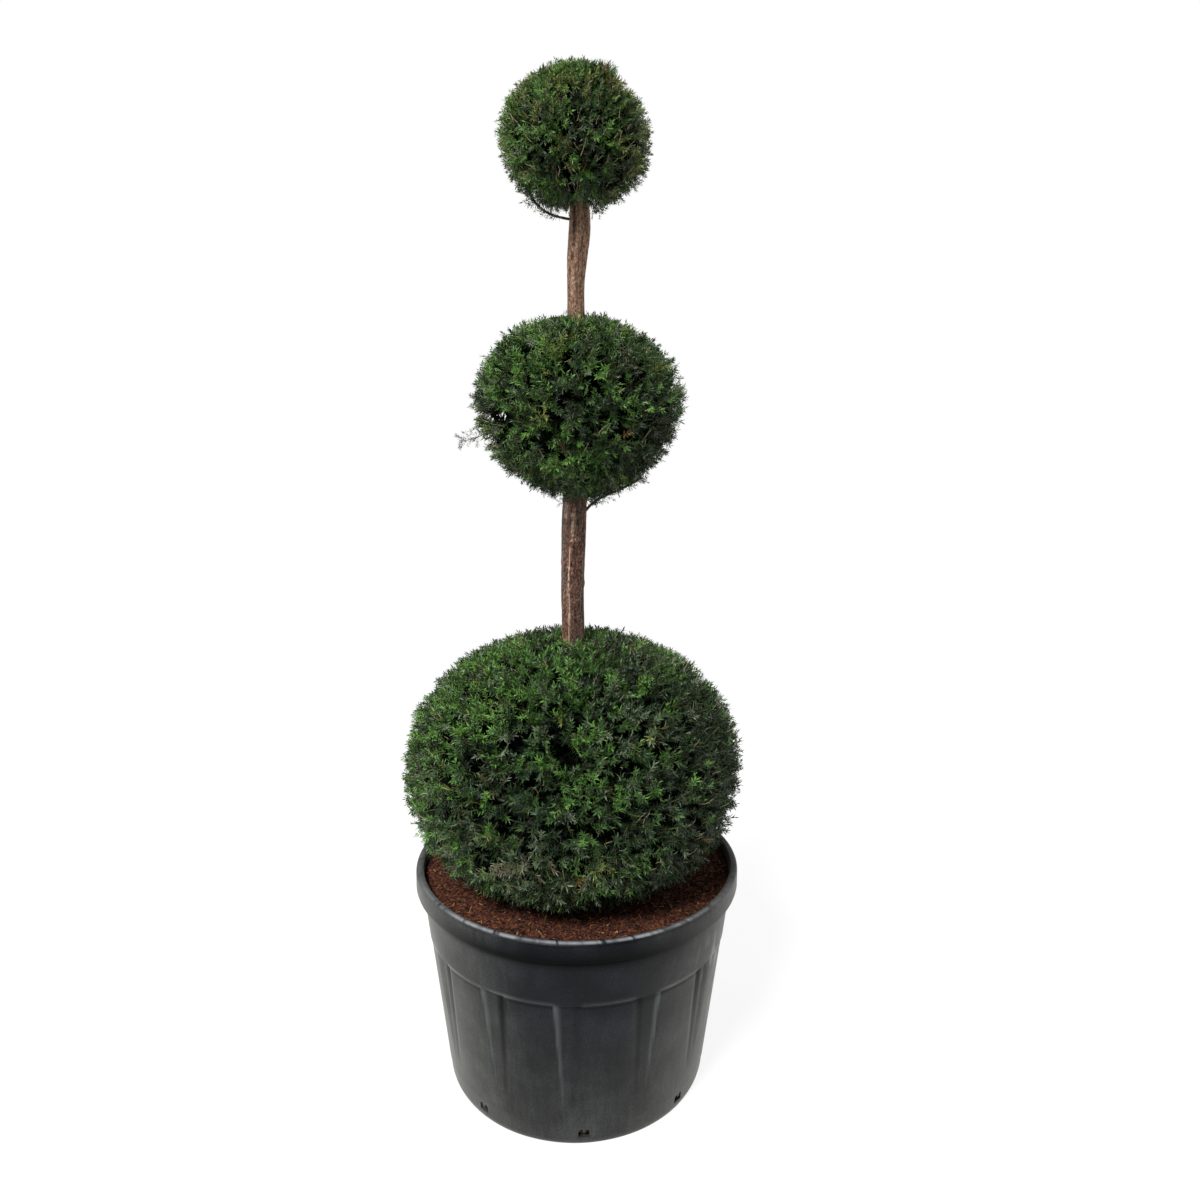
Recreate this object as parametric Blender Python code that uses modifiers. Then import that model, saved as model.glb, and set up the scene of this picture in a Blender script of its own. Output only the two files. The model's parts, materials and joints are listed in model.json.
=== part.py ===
"""Potted yew, clipped into three balls on one bare stem, in a round nursery container.

Metres, +Z up. The container's underside stands on z = 0, centred on the origin, and -Y is its front.
"""

import math
import random

import bmesh
import bpy
from mathutils import Matrix, Vector, noise

GAP = 0.0003  # left between solids that touch on the real plant
SEED = 41

# Container: a turned shell with a rolled lip, a smooth band and a panelled wall.
POT_HEIGHT = 0.511
LIP_RADIUS = 0.3852
LIP_UNDERSIDE = 0.467
LIP_ROUND = 0.008
MOUTH_RADIUS = 0.366
BAND_TOP_RADIUS = 0.3695
BAND_FOOT_RADIUS = 0.3555
SHOULDER_HEIGHT = 0.356
PANEL_TOP_RADIUS = 0.3535
WALL_FOOT_RADIUS = 0.313
WALL_FOOT_HEIGHT = 0.046
BASE_RADIUS = 0.303
WALL = 0.005
FLOOR_TOP = 0.016
FOOT_RING_INNER = 0.262
FOOT_RING_DEPTH = 0.005
POT_STEPS = 52

# Tapered channels between the wall's raised panels.
PANEL_COUNT = 13
PANEL_CENTRE = math.radians(-16.5)  # one panel's middle, turned from the front towards +X
CHANNEL_DEPTH = 0.007
CHANNEL_TOP_WIDTH = 0.078
CHANNEL_FOOT_WIDTH = 0.036
CHANNEL_FLOOR_SHARE = 0.5
CHANNEL_FOOT = 0.095

# Drain holes round the foot of the wall.
DRAIN_COUNT = 8
DRAIN_CENTRE = math.radians(3)
DRAIN_WIDTH = 0.025
DRAIN_TALL = 0.020
DRAIN_MIDDLE = 0.030

# Bark mulch that fills the container.
SOIL_TOP = 0.494
SOIL_SAG = 0.004
SOIL_FLAT_RADIUS = 0.09

# Trunk: (height, radius, x, y) of its middle line, from the cut at the soil to the tip.
TRUNK_STATIONS = (
    (SOIL_TOP + GAP, 0.0620, -0.0100, 0.0000),
    (0.520, 0.0480, -0.0100, 0.0000),
    (0.570, 0.0370, -0.0105, 0.0010),
    (0.700, 0.0315, -0.0095, 0.0030),
    (0.900, 0.0285, -0.0110, 0.0020),
    (1.090, 0.0271, -0.0124, 0.0000),
    (1.187, 0.0278, -0.0138, -0.0015),
    (1.330, 0.0291, -0.0106, 0.0000),
    (1.500, 0.0265, -0.0060, 0.0030),
    (1.700, 0.0222, -0.0070, 0.0020),
    (1.850, 0.0202, -0.0076, 0.0000),
    (1.917, 0.0232, -0.0053, -0.0010),
    (1.993, 0.0247, 0.0001, 0.0000),
    (2.090, 0.0190, -0.0040, 0.0020),
    (2.200, 0.0110, -0.0110, 0.0020),
    (2.288, 0.0035, -0.0130, 0.0000),
)
TRUNK_SIDES = 14
TRUNK_RINGS_BETWEEN = 2
ROOT_CUT = 0.003  # what is this near the soil lies in the trunk's flat cut
ROOM_FOOT = 2 * GAP  # how far the room round the trunk goes on below its cut
FLUTES = ((3, 0.055, 0.4), (5, 0.035, 1.9))  # (lobes round the trunk, depth as a share, turn)

# Boughs that show under the two upper balls: points along each, and its thickness at both ends.
BOUGHS = {
    "bough_middle_right": {
        "points": (
            (0.004, 0.0, 1.338),
            (0.044, -0.010, 1.378),
            (0.100, -0.022, 1.405),
            (0.146, -0.030, 1.430),
        ),
        "radii": (0.0042, 0.0028),
    },
    "bough_top_left": {
        "points": (
            (-0.006, 0.0, 2.003),
            (-0.060, -0.010, 2.012),
            (-0.096, -0.016, 2.035),
            (-0.118, -0.018, 2.068),
        ),
        "radii": (0.0036, 0.0024),
    },
}
BOUGH_RINGS = 3

# Clipped balls. The outline is a ball flattened above and below by its own powers.
BALLS = {
    "foliage_bottom": {
        "centre": (-0.0114, 0.0, 0.7616),
        "radius": 0.3974,
        "up": 0.3008,
        "down": 0.2977,
        "powers": (2.06, 2.43),
        "core_detail": 4,
        "limbs": 12,
        "sprays": 150,
        "floor": SOIL_TOP + GAP,
    },
    "foliage_middle": {
        "centre": (-0.0010, 0.0, 1.5959),
        "radius": 0.2413,
        "up": 0.2031,
        "down": 0.2118,
        "powers": (1.99, 1.90),
        "core_detail": 3,
        "limbs": 9,
        "sprays": 100,
        "floor": 0.0,
    },
    "foliage_top": {
        "centre": (-0.0132, 0.0, 2.1892),
        "radius": 0.1688,
        "up": 0.1420,
        "down": 0.1621,
        "powers": (1.78, 2.22),
        "core_detail": 3,
        "limbs": 7,
        "sprays": 72,
        "floor": 0.0,
    },
}
CORE_SHARE = 0.90  # the core's reach, as a share of the outline
CORE_LUMPS = 0.06
CORE_LUMP_RATE = 5
LIMB_SHARE = 0.45  # where limbs end and twigs begin
TWIG_SHARE = 0.76  # where twigs end, inside the core, and sprays begin
SPRAY_RISE = 0.35  # how far sprays turn up towards the light
SPRAY_SWAY = 0.30
SPRAY_WIDTH = 0.70  # as a share of a spray's length
SPRAY_THICKNESS = 0.022  # as a share of a spray's length
SPRAY_TIPS = (0.97, 1.03)  # how near the outline sprays end

FINISHES = {
    "pot": ((0.045, 0.048, 0.052), 0.5, 0.0),
    "soil": ((0.085, 0.032, 0.016), 0.95, 0.0),
    "bark": ((0.185, 0.085, 0.050), 0.85, 0.0),
    "needles": ((0.030, 0.085, 0.022), 0.6, 0.0),
}


def clear_scene():
    for obj in list(bpy.data.objects):
        bpy.data.objects.remove(obj, do_unlink=True)


def collection_of(name, hidden=False):
    made = bpy.data.collections.new(name)
    bpy.context.scene.collection.children.link(made)
    made.hide_render = hidden
    return made


def finish_of(name):
    """The Principled material of that name, made on its first use."""
    found = bpy.data.materials.get(name)
    if found:
        return found
    colour, roughness, metallic = FINISHES[name]
    made = bpy.data.materials.new(name)
    made.use_nodes = True
    shader = made.node_tree.nodes["Principled BSDF"]
    shader.inputs["Base Color"].default_value = (*colour, 1.0)
    shader.inputs["Roughness"].default_value = roughness
    shader.inputs["Metallic"].default_value = metallic
    return made


def add_object(name, mesh, collection, finish=None):
    obj = bpy.data.objects.new(name, mesh)
    collection.objects.link(obj)
    if finish:
        obj.data.materials.clear()
        obj.data.materials.append(finish_of(finish))
    return obj


def add_cutter(name, mesh, collection):
    obj = add_object(name, mesh, collection)
    obj.hide_render = True
    obj.display_type = "WIRE"
    return obj


def cut(obj, operand, solver="EXACT"):
    """Takes a cutter, or every cutter in a collection, out of the object."""
    tool = obj.modifiers.new("cut", "BOOLEAN")
    tool.operation = "DIFFERENCE"
    tool.solver = solver
    if isinstance(operand, bpy.types.Collection):
        tool.operand_type = "COLLECTION"
        tool.collection = operand
    else:
        tool.object = operand


def settle(obj):
    """Makes the object's modifiers part of its mesh."""
    graph = bpy.context.evaluated_depsgraph_get()
    made = bpy.data.meshes.new_from_object(obj.evaluated_get(graph))
    obj.modifiers.clear()
    obj.data = made


def curve_mesh(curve):
    """A curve as a mesh with its caps welded on and its faces pointing out."""
    holder = bpy.data.objects.new(curve.name, curve)
    bpy.context.scene.collection.objects.link(holder)
    graph = bpy.context.evaluated_depsgraph_get()
    mesh = bpy.data.meshes.new_from_object(holder.evaluated_get(graph))
    bpy.data.objects.remove(holder)
    shape = bmesh.new()
    shape.from_mesh(mesh)
    bmesh.ops.remove_doubles(shape, verts=shape.verts, dist=1e-6)
    bmesh.ops.recalc_face_normals(shape, faces=shape.faces)
    shape.to_mesh(mesh)
    shape.free()
    return mesh


def turned(name, profile, steps, collection, finish):
    """A turned shape. The profile starts and ends on the axis and runs down its outer side."""
    mesh = bpy.data.meshes.new(name)
    points = [(radius, 0.0, height) for radius, height in profile]
    mesh.from_pydata(points, [(i, i + 1) for i in range(len(points) - 1)], [])
    obj = add_object(name, mesh, collection, finish)
    screw = obj.modifiers.new("turn", "SCREW")
    screw.steps = steps
    screw.render_steps = steps
    screw.use_merge_vertices = True
    screw.merge_threshold = 1e-5
    return obj


def facing(angle, radius, height):
    """A point round the container: angle 0 is the front, and it grows towards +X."""
    return Vector((radius * math.sin(angle), -radius * math.cos(angle), height))


def wall_radius(height):
    """The panelled wall's outer radius at a height."""
    share = (height - WALL_FOOT_HEIGHT) / (SHOULDER_HEIGHT - WALL_FOOT_HEIGHT)
    return WALL_FOOT_RADIUS + share * (PANEL_TOP_RADIUS - WALL_FOOT_RADIUS)


def pot_profile():
    lip_middle = POT_HEIGHT - LIP_ROUND
    rolled = [
        (
            LIP_RADIUS - LIP_ROUND + LIP_ROUND * math.sin(math.radians(turn)),
            lip_middle + LIP_ROUND * math.cos(math.radians(turn)),
        )
        for turn in (0, 30, 60, 90)
    ]
    return [
        (0.0, FLOOR_TOP),
        (BASE_RADIUS - WALL, FLOOR_TOP),
        (WALL_FOOT_RADIUS - WALL, WALL_FOOT_HEIGHT),
        (PANEL_TOP_RADIUS - 2 * WALL, SHOULDER_HEIGHT),
        (MOUTH_RADIUS, LIP_UNDERSIDE),
        (MOUTH_RADIUS, lip_middle),
        (MOUTH_RADIUS + LIP_ROUND / 2, POT_HEIGHT),
        *rolled,
        (LIP_RADIUS, LIP_UNDERSIDE + LIP_ROUND / 2),
        (LIP_RADIUS - LIP_ROUND / 2, LIP_UNDERSIDE),
        (BAND_TOP_RADIUS, LIP_UNDERSIDE),
        (BAND_FOOT_RADIUS, SHOULDER_HEIGHT),
        (PANEL_TOP_RADIUS, SHOULDER_HEIGHT - (BAND_FOOT_RADIUS - PANEL_TOP_RADIUS)),
        (WALL_FOOT_RADIUS, WALL_FOOT_HEIGHT),
        (BASE_RADIUS + 0.004, 0.010),
        (BASE_RADIUS, 0.0),
        (FOOT_RING_INNER, 0.0),
        (FOOT_RING_INNER - FOOT_RING_DEPTH, FOOT_RING_DEPTH),
        (0.0, FOOT_RING_DEPTH),
    ]


def channel_cutter(angle, collection):
    """A wedge that leaves a channel, deepest under the band and fading out at its foot."""
    shape = bmesh.new()
    bmesh.ops.create_cube(shape, size=2.0)
    rise = SHOULDER_HEIGHT - 0.003 - CHANNEL_FOOT
    for corner in shape.verts:
        side, outward, up = corner.co
        height = CHANNEL_FOOT + rise * (up + 1) / 2
        width = CHANNEL_TOP_WIDTH if up > 0 else CHANNEL_FOOT_WIDTH
        depth = CHANNEL_DEPTH if up > 0 else -0.0005
        floor_width = width * CHANNEL_FLOOR_SHARE
        reach = wall_radius(height)
        if outward < 0:
            radial, across = reach - depth, floor_width / 2
        else:
            clear = 0.012
            slope = (width - floor_width) / 2 / CHANNEL_DEPTH
            radial, across = reach + clear, floor_width / 2 + slope * (depth + clear)
        along = facing(angle, radial, height)
        tangent = Vector((math.cos(angle), math.sin(angle), 0.0))
        corner.co = along + tangent * across * side
    if shape.calc_volume(signed=True) < 0:
        bmesh.ops.reverse_faces(shape, faces=shape.faces)
    mesh = bpy.data.meshes.new("channel")
    shape.to_mesh(mesh)
    shape.free()
    return add_cutter("channel", mesh, collection)


def drain_cutter(angle, collection):
    """A box through the foot of the wall."""
    shape = bmesh.new()
    bmesh.ops.create_cube(shape, size=1.0)
    bmesh.ops.scale(shape, vec=(DRAIN_WIDTH, 8 * WALL, DRAIN_TALL), verts=shape.verts)
    place = Matrix.Translation(facing(angle, wall_radius(DRAIN_MIDDLE), DRAIN_MIDDLE))
    bmesh.ops.transform(shape, matrix=place @ Matrix.Rotation(angle, 4, "Z"), verts=shape.verts)
    mesh = bpy.data.meshes.new("drain")
    shape.to_mesh(mesh)
    shape.free()
    return add_cutter("drain", mesh, collection)


def build_pot(parts, cutters):
    pot = turned("pot", pot_profile(), POT_STEPS, parts, "pot")
    for index in range(PANEL_COUNT):
        channel_cutter(PANEL_CENTRE + (index + 0.5) * math.tau / PANEL_COUNT, cutters)
    for index in range(DRAIN_COUNT):
        drain_cutter(DRAIN_CENTRE + index * math.tau / DRAIN_COUNT, cutters)
    cut(pot, cutters)
    return pot


def build_soil(parts):
    """Fills the container to just under its mouth, flat in the middle where the trunk stands."""
    mouth = MOUTH_RADIUS - GAP
    profile = [
        (0.0, SOIL_TOP),
        (SOIL_FLAT_RADIUS, SOIL_TOP),
        (mouth * 0.7, SOIL_TOP - SOIL_SAG),
        (mouth, SOIL_TOP),
        (mouth, LIP_UNDERSIDE - GAP),
        (PANEL_TOP_RADIUS - 2 * WALL - 2 * GAP, SHOULDER_HEIGHT),
        (WALL_FOOT_RADIUS - WALL - 2 * GAP, WALL_FOOT_HEIGHT),
        (BASE_RADIUS - WALL - 2 * GAP, FLOOR_TOP + GAP),
        (0.0, FLOOR_TOP + GAP),
    ]
    return turned("soil", profile, POT_STEPS, parts, "soil")


def between(first, second, third, fourth, share):
    """A smooth value from second to third, led by its neighbours on both sides."""
    return 0.5 * (
        2 * second
        + (third - first) * share
        + (2 * first - 5 * second + 4 * third - fourth) * share**2
        + (3 * (second - third) + fourth - first) * share**3
    )


def smoothed(stations, parts_between):
    """The stations with smooth ones added between each pair."""
    count = len(stations)
    out = []
    for index in range(count - 1):
        around = [stations[min(max(index + step, 0), count - 1)] for step in (-1, 0, 1, 2)]
        for part in range(parts_between):
            share = part / parts_between
            out.append(tuple(between(*values, share) for values in zip(*around)))
    out.append(stations[-1])
    return out


def flute_section():
    """The trunk's section, one unit across its radius, with shallow flutes."""
    curve = bpy.data.curves.new("flutes", "CURVE")
    curve.dimensions = "2D"
    spline = curve.splines.new("POLY")
    spline.points.add(TRUNK_SIDES - 1)
    for index, point in enumerate(spline.points):
        angle = math.tau * index / TRUNK_SIDES
        radius = 1 + sum(depth * math.cos(lobes * angle + turn) for lobes, depth, turn in FLUTES)
        point.co = (radius * math.cos(angle), radius * math.sin(angle), 0.0, 1.0)
    spline.use_cyclic_u = True
    return curve


def trunk_mesh():
    stations = smoothed(TRUNK_STATIONS, TRUNK_RINGS_BETWEEN)
    section = bpy.data.objects.new("flutes", flute_section())
    bpy.context.scene.collection.objects.link(section)
    curve = bpy.data.curves.new("trunk", "CURVE")
    curve.dimensions = "3D"
    curve.bevel_mode = "OBJECT"
    curve.bevel_object = section
    curve.use_fill_caps = True
    spline = curve.splines.new("POLY")
    spline.points.add(len(stations) - 1)
    for point, (height, radius, x, y) in zip(spline.points, stations):
        point.co = (x, y, height, 1.0)
        point.radius = radius
    mesh = curve_mesh(curve)
    bpy.data.objects.remove(section)
    for corner in mesh.vertices:
        if corner.co.z < SOIL_TOP + ROOT_CUT:
            corner.co.z = SOIL_TOP + GAP
    return mesh


def trunk_room_mesh(trunk):
    """The trunk grown by its clearance, and reaching down past the soil."""
    shape = bmesh.new()
    shape.from_mesh(trunk)
    shape.normal_update()
    for corner in shape.verts:
        if corner.co.z < SOIL_TOP + ROOT_CUT:
            corner.co += Vector((corner.normal.x, corner.normal.y, 0.0)).normalized() * 2 * GAP
            corner.co.z -= ROOM_FOOT
        else:
            corner.co += corner.normal * 2 * GAP
    mesh = bpy.data.meshes.new("trunk_room")
    shape.to_mesh(mesh)
    shape.free()
    return mesh


def bough_mesh(name, points, radii, clearance=0.0):
    """One tapering limb along its points, or the room round it."""
    path = smoothed(points, BOUGH_RINGS)
    curve = bpy.data.curves.new(name, "CURVE")
    curve.dimensions = "3D"
    curve.bevel_depth = 1.0
    curve.bevel_resolution = 1
    curve.use_fill_caps = True
    spline = curve.splines.new("POLY")
    spline.points.add(len(path) - 1)
    for index, (point, place) in enumerate(zip(spline.points, path)):
        share = index / (len(path) - 1)
        point.co = (*place, 1.0)
        point.radius = radii[0] + (radii[1] - radii[0]) * share + clearance
    if clearance:
        last, before = Vector(path[-1]), Vector(path[-2])
        spline.points[-1].co = (*(last + (last - before).normalized() * clearance), 1.0)
    return curve_mesh(curve)


def build_limbs(parts, cutters):
    """The trunk and boughs. It returns the rooms that foliage leaves round them."""
    trunk = add_object("trunk", trunk_mesh(), parts, "bark")
    trunk_room = add_cutter("trunk_room", trunk_room_mesh(trunk.data), cutters)
    rooms = [trunk_room]
    for name, shape in BOUGHS.items():
        bough = add_object(name, bough_mesh(name, **shape), parts, "bark")
        cut(bough, trunk_room)
        settle(bough)
        keep_largest(bough)
        rooms.append(add_cutter(name + "_room", bough_mesh(name, **shape, clearance=GAP), cutters))
    return rooms


def keep_largest(obj):
    """Drops loose scraps and fills sealed hollows, which are shells apart from the outer one."""
    shape = bmesh.new()
    shape.from_mesh(obj.data)
    left = set(shape.faces)
    shells = []
    while left:
        shell, front = set(), [left.pop()]
        while front:
            face = front.pop()
            shell.add(face)
            for edge in face.edges:
                for other in edge.link_faces:
                    if other in left:
                        left.remove(other)
                        front.append(other)
        shells.append(shell)
    outer = max(shells, key=lambda shell: sum(face.calc_area() for face in shell))
    bmesh.ops.delete(shape, geom=[f for f in shape.faces if f not in outer], context="FACES")
    shape.to_mesh(obj.data)
    shape.free()


def level(ball, point):
    """0 in the ball's middle, 1 on its outline and more outside."""
    offset = point - Vector(ball["centre"])
    tall, power = (ball["up"], ball["powers"][0]) if offset.z > 0 else (ball["down"], ball["powers"][1])
    flat = math.hypot(offset.x, offset.y) / ball["radius"]
    return (flat**power + (abs(offset.z) / tall) ** power) ** (1 / power)


def reach(ball, direction, share=1.0):
    """How far a share of the ball goes from its middle in a direction, stopping at its floor."""
    far = share / level(ball, Vector(ball["centre"]) + direction)
    if direction.z < 0:
        far = min(far, (ball["centre"][2] - ball["floor"]) / -direction.z)
    return far


def spread(count, turn=0.0):
    """Directions spaced evenly all round."""
    golden = math.pi * (3 - math.sqrt(5))
    for index in range(count):
        z = 1 - (2 * index + 1) / count
        flat = math.sqrt(1 - z * z)
        yield Vector((flat * math.cos(index * golden + turn), flat * math.sin(index * golden + turn), z))


def core_mesh(ball):
    """The ball's dense inside, lumpy as clipping leaves it."""
    shape = bmesh.new()
    bmesh.ops.create_icosphere(shape, subdivisions=ball["core_detail"], radius=1.0)
    for corner in shape.verts:
        direction = corner.co.normalized()
        lumps = 1 + CORE_LUMPS * noise.noise(direction * CORE_LUMP_RATE + Vector(ball["centre"]))
        corner.co = Vector(ball["centre"]) + direction * reach(ball, direction, CORE_SHARE * lumps)
    mesh = bpy.data.meshes.new("core")
    shape.to_mesh(mesh)
    shape.free()
    return mesh


def twig_mesh(start, end, radius, sides=3):
    """A tapering twig from one point to another."""
    along = end - start
    shape = bmesh.new()
    bmesh.ops.create_cone(
        shape,
        cap_ends=True,
        segments=sides,
        radius1=radius,
        radius2=radius * 0.6,
        depth=along.length,
    )
    place = Matrix.Translation((start + end) / 2) @ along.to_track_quat("Z", "Y").to_matrix().to_4x4()
    bmesh.ops.transform(shape, matrix=place, verts=shape.verts)
    mesh = bpy.data.meshes.new("twig")
    shape.to_mesh(mesh)
    shape.free()
    return mesh


def spray_template():
    """A flat spray of needles one unit long, as a blade with a tooth on each side."""
    outline = (
        (0.0, 0.12),
        (0.55, 0.50),
        (0.62, 0.20),
        (1.0, 0.0),
        (0.80, -0.16),
        (0.76, -0.44),
        (0.0, -0.12),
    )
    curve = bpy.data.curves.new("spray", "CURVE")
    curve.dimensions = "2D"
    curve.fill_mode = "BOTH"
    curve.extrude = 0.5
    spline = curve.splines.new("POLY")
    spline.points.add(len(outline) - 1)
    for point, (along, across) in zip(spline.points, outline):
        point.co = (along, across, 0.0, 1.0)
    spline.use_cyclic_u = True
    return curve_mesh(curve)


def spray_matrix(root, tip, roll):
    """Lays the spray's template from a root to a tip, rolled about its length."""
    along = tip - root
    turn = along.to_track_quat("X", "Z").to_matrix().to_4x4() @ Matrix.Rotation(roll, 4, "X")
    length = along.length
    size = Matrix.Diagonal((length, length * SPRAY_WIDTH, length * SPRAY_THICKNESS, 1.0))
    return Matrix.Translation(root) @ turn @ size


def outline_along(ball, root, axis, goal):
    """The point from a root along an axis where the ball's level is the goal."""
    low, high = 0.0, 2 * ball["radius"]
    for _ in range(24):
        middle = (low + high) / 2
        if level(ball, root + axis * middle) < goal:
            low = middle
        else:
            high = middle
    return root + axis * low


def touches_limb(point, margin):
    """Whether a point comes within a margin of the trunk or a bough."""
    stations = smoothed(TRUNK_STATIONS, TRUNK_RINGS_BETWEEN)
    for height, radius, x, y in stations:
        if abs(point.z - height) < 0.05 and math.hypot(point.x - x, point.y - y) < radius + margin:
            return True
    for shape in BOUGHS.values():
        for place in smoothed(shape["points"], BOUGH_RINGS):
            if (point - Vector(place)).length < shape["radii"][0] + margin:
                return True
    return False


def build_ball(name, ball, rooms, template, parts):
    """One clipped ball: a core, a stem, limbs, twigs and sprays fused into one solid."""
    draw = random.Random(f"{SEED} {name}")
    centre = Vector(ball["centre"])
    pieces = collection_of(name + "_pieces")
    foliage = add_object(name, core_mesh(ball), parts, "needles")
    stem_end = centre + Vector((0.5, -0.3, 0.2)).normalized() * ball["radius"] * LIMB_SHARE
    add_object("stem", twig_mesh(centre, stem_end, ball["radius"] * 0.05), pieces)
    limb_ends = []
    for direction in spread(ball["limbs"], draw.uniform(0, math.tau)):
        limb_end = centre + direction * reach(ball, direction) * LIMB_SHARE
        add_object("limb", twig_mesh(stem_end, limb_end, ball["radius"] * 0.03), pieces)
        limb_ends.append(limb_end)
    for direction in spread(ball["sprays"], draw.uniform(0, math.tau)):
        sway = Vector([draw.uniform(-1, 1) for _ in range(3)]) * SPRAY_SWAY
        roll = draw.uniform(0, math.pi)
        goal = draw.uniform(*SPRAY_TIPS)
        twig_end = centre + direction * reach(ball, direction) * TWIG_SHARE
        axis = (direction + Vector((0, 0, SPRAY_RISE)) + sway).normalized()
        tip = outline_along(ball, twig_end, axis, goal)
        place = spray_matrix(twig_end, tip, roll)
        corners = [place @ corner.co for corner in template.vertices]
        leaves_space = any(level(ball, c) > SPRAY_TIPS[1] + 0.002 or c.z < ball["floor"] for c in corners)
        if leaves_space or any(touches_limb(c, 4 * GAP) for c in corners + [twig_end]):
            continue
        nearest = min(limb_ends, key=lambda end: (end - twig_end).length)
        add_object("twig", twig_mesh(nearest, twig_end, ball["radius"] * 0.012), pieces)
        spray = template.copy()
        spray.transform(place)
        add_object("spray", spray, pieces)
    print(name, len(pieces.objects), "pieces")
    fuse = foliage.modifiers.new("fuse", "BOOLEAN")
    fuse.operation = "UNION"
    fuse.operand_type = "COLLECTION"
    fuse.collection = pieces
    fuse.solver = "MANIFOLD"
    settle(foliage)
    for piece in list(pieces.objects):
        bpy.data.objects.remove(piece)
    bpy.data.collections.remove(pieces)
    for room in rooms:
        cut(foliage, room, "MANIFOLD")
    settle(foliage)
    keep_largest(foliage)
    foliage.data.materials.clear()
    foliage.data.materials.append(finish_of("needles"))
    return foliage


def main():
    clear_scene()
    parts = collection_of("potted_yew_triple_ball_topiary")
    pot_cutters = collection_of("pot_cutters", hidden=True)
    rooms_kept = collection_of("limb_rooms", hidden=True)
    build_pot(parts, pot_cutters)
    build_soil(parts)
    rooms = build_limbs(parts, rooms_kept)
    template = spray_template()
    for name, ball in BALLS.items():
        build_ball(name, ball, rooms, template, parts)
    for obj in parts.objects:
        obj.data.shade_smooth()
        obj.data.set_sharp_from_angle(angle=math.radians(35))


main()
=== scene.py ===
# Potted yew, clipped into three balls on one bare stem, in a round nursery container.
# Metres, +Z up, -Y is the front. The growth rule is the same as in the part's own source.
import json
import math
import random

import bmesh
import bpy
import numpy as np
from mathutils import Matrix, Quaternion, Vector, noise
from mathutils.kdtree import KDTree

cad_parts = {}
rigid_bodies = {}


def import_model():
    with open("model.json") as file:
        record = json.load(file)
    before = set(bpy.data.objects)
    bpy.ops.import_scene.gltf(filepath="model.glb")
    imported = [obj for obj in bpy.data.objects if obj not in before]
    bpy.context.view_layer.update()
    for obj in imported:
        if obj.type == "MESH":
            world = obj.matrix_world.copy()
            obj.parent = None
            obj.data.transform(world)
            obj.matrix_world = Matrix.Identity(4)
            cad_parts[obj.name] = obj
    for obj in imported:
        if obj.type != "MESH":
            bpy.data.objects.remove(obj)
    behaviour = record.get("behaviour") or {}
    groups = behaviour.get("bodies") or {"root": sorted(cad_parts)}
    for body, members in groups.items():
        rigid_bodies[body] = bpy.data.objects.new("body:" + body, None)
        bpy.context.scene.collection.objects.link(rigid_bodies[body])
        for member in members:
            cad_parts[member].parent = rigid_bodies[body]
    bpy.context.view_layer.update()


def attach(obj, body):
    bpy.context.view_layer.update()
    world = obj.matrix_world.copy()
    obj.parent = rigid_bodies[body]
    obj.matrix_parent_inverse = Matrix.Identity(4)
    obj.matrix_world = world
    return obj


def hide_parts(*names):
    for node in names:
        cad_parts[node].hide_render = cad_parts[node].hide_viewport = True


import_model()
print("frame loaded")


def linear(hexColour):
    # sRGB hex to the linear colour that shaders take
    channels = [int(hexColour[i:i + 2], 16) / 255 for i in (1, 3, 5)]
    return (*[c / 12.92 if c <= 0.04045 else ((c + 0.055) / 1.055) ** 2.4 for c in channels], 1.0)


def socketOf(value):
    # a node stands for its first output that is in use
    if isinstance(value, bpy.types.Node):
        return next(socket for socket in value.outputs if socket.enabled)
    return value


def addNode(tree, kind, inputs=None, stops=(), **settings):
    # adds a node with its settings, each input as a value or a link, and the stops of a ramp
    node = tree.nodes.new(kind)
    for name, value in settings.items():
        setattr(node, name, value)
    for key, value in (inputs or {}).items():
        value = socketOf(value)
        if isinstance(value, bpy.types.NodeSocket):
            tree.links.new(value, node.inputs[key])
        else:
            node.inputs[key].default_value = value
    for index, (place, hexColour) in enumerate(stops):
        if index > 1:
            node.color_ramp.elements.new(place)
        node.color_ramp.elements[index].position = place
        node.color_ramp.elements[index].color = linear(hexColour)
    return node


def newMaterial(name, roughness, ior=1.5, colour=None, **sockets):
    material = bpy.data.materials.new(name)
    material.use_nodes = True
    inputs = material.node_tree.nodes["Principled BSDF"].inputs
    inputs["Roughness"].default_value = roughness
    inputs["IOR"].default_value = ior
    if colour:
        inputs["Base Color"].default_value = linear(colour)
    for label, value in sockets.items():
        inputs[label.replace("_", " ")].default_value = value
    return material


def feedShader(tree, **results):
    inputs = tree.nodes["Principled BSDF"].inputs
    for label, value in results.items():
        tree.links.new(socketOf(value), inputs[label.replace("_", " ")])


def objectPlace(tree):
    return addNode(tree, "ShaderNodeTexCoord").outputs["Object"]


def drawnOut(tree, place, rate):
    # the place with its height scaled, so that a pattern runs up and down
    return addNode(tree, "ShaderNodeMapping", {"Vector": place, "Scale": (1, 1, rate)})


def noiseOn(tree, place, scale, detail, **more):
    return addNode(tree, "ShaderNodeTexNoise", {"Vector": place, "Scale": scale, "Detail": detail, **more})


def ramp(tree, value, *stops):
    return addNode(tree, "ShaderNodeValToRGB", {"Fac": value}, stops)


def rescaled(tree, value, fromLow, fromHigh, low, high):
    return addNode(tree, "ShaderNodeMapRange", {
        "Value": value, "From Min": fromLow, "From Max": fromHigh, "To Min": low, "To Max": high})


def mixNumbers(tree, share, first, second):
    return addNode(tree, "ShaderNodeMix", {"Factor": share, 2: first, 3: second})


def mixColours(tree, share, first, second):
    return addNode(tree, "ShaderNodeMix", {"Factor": share, 6: first, 7: second}, data_type="RGBA")


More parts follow.
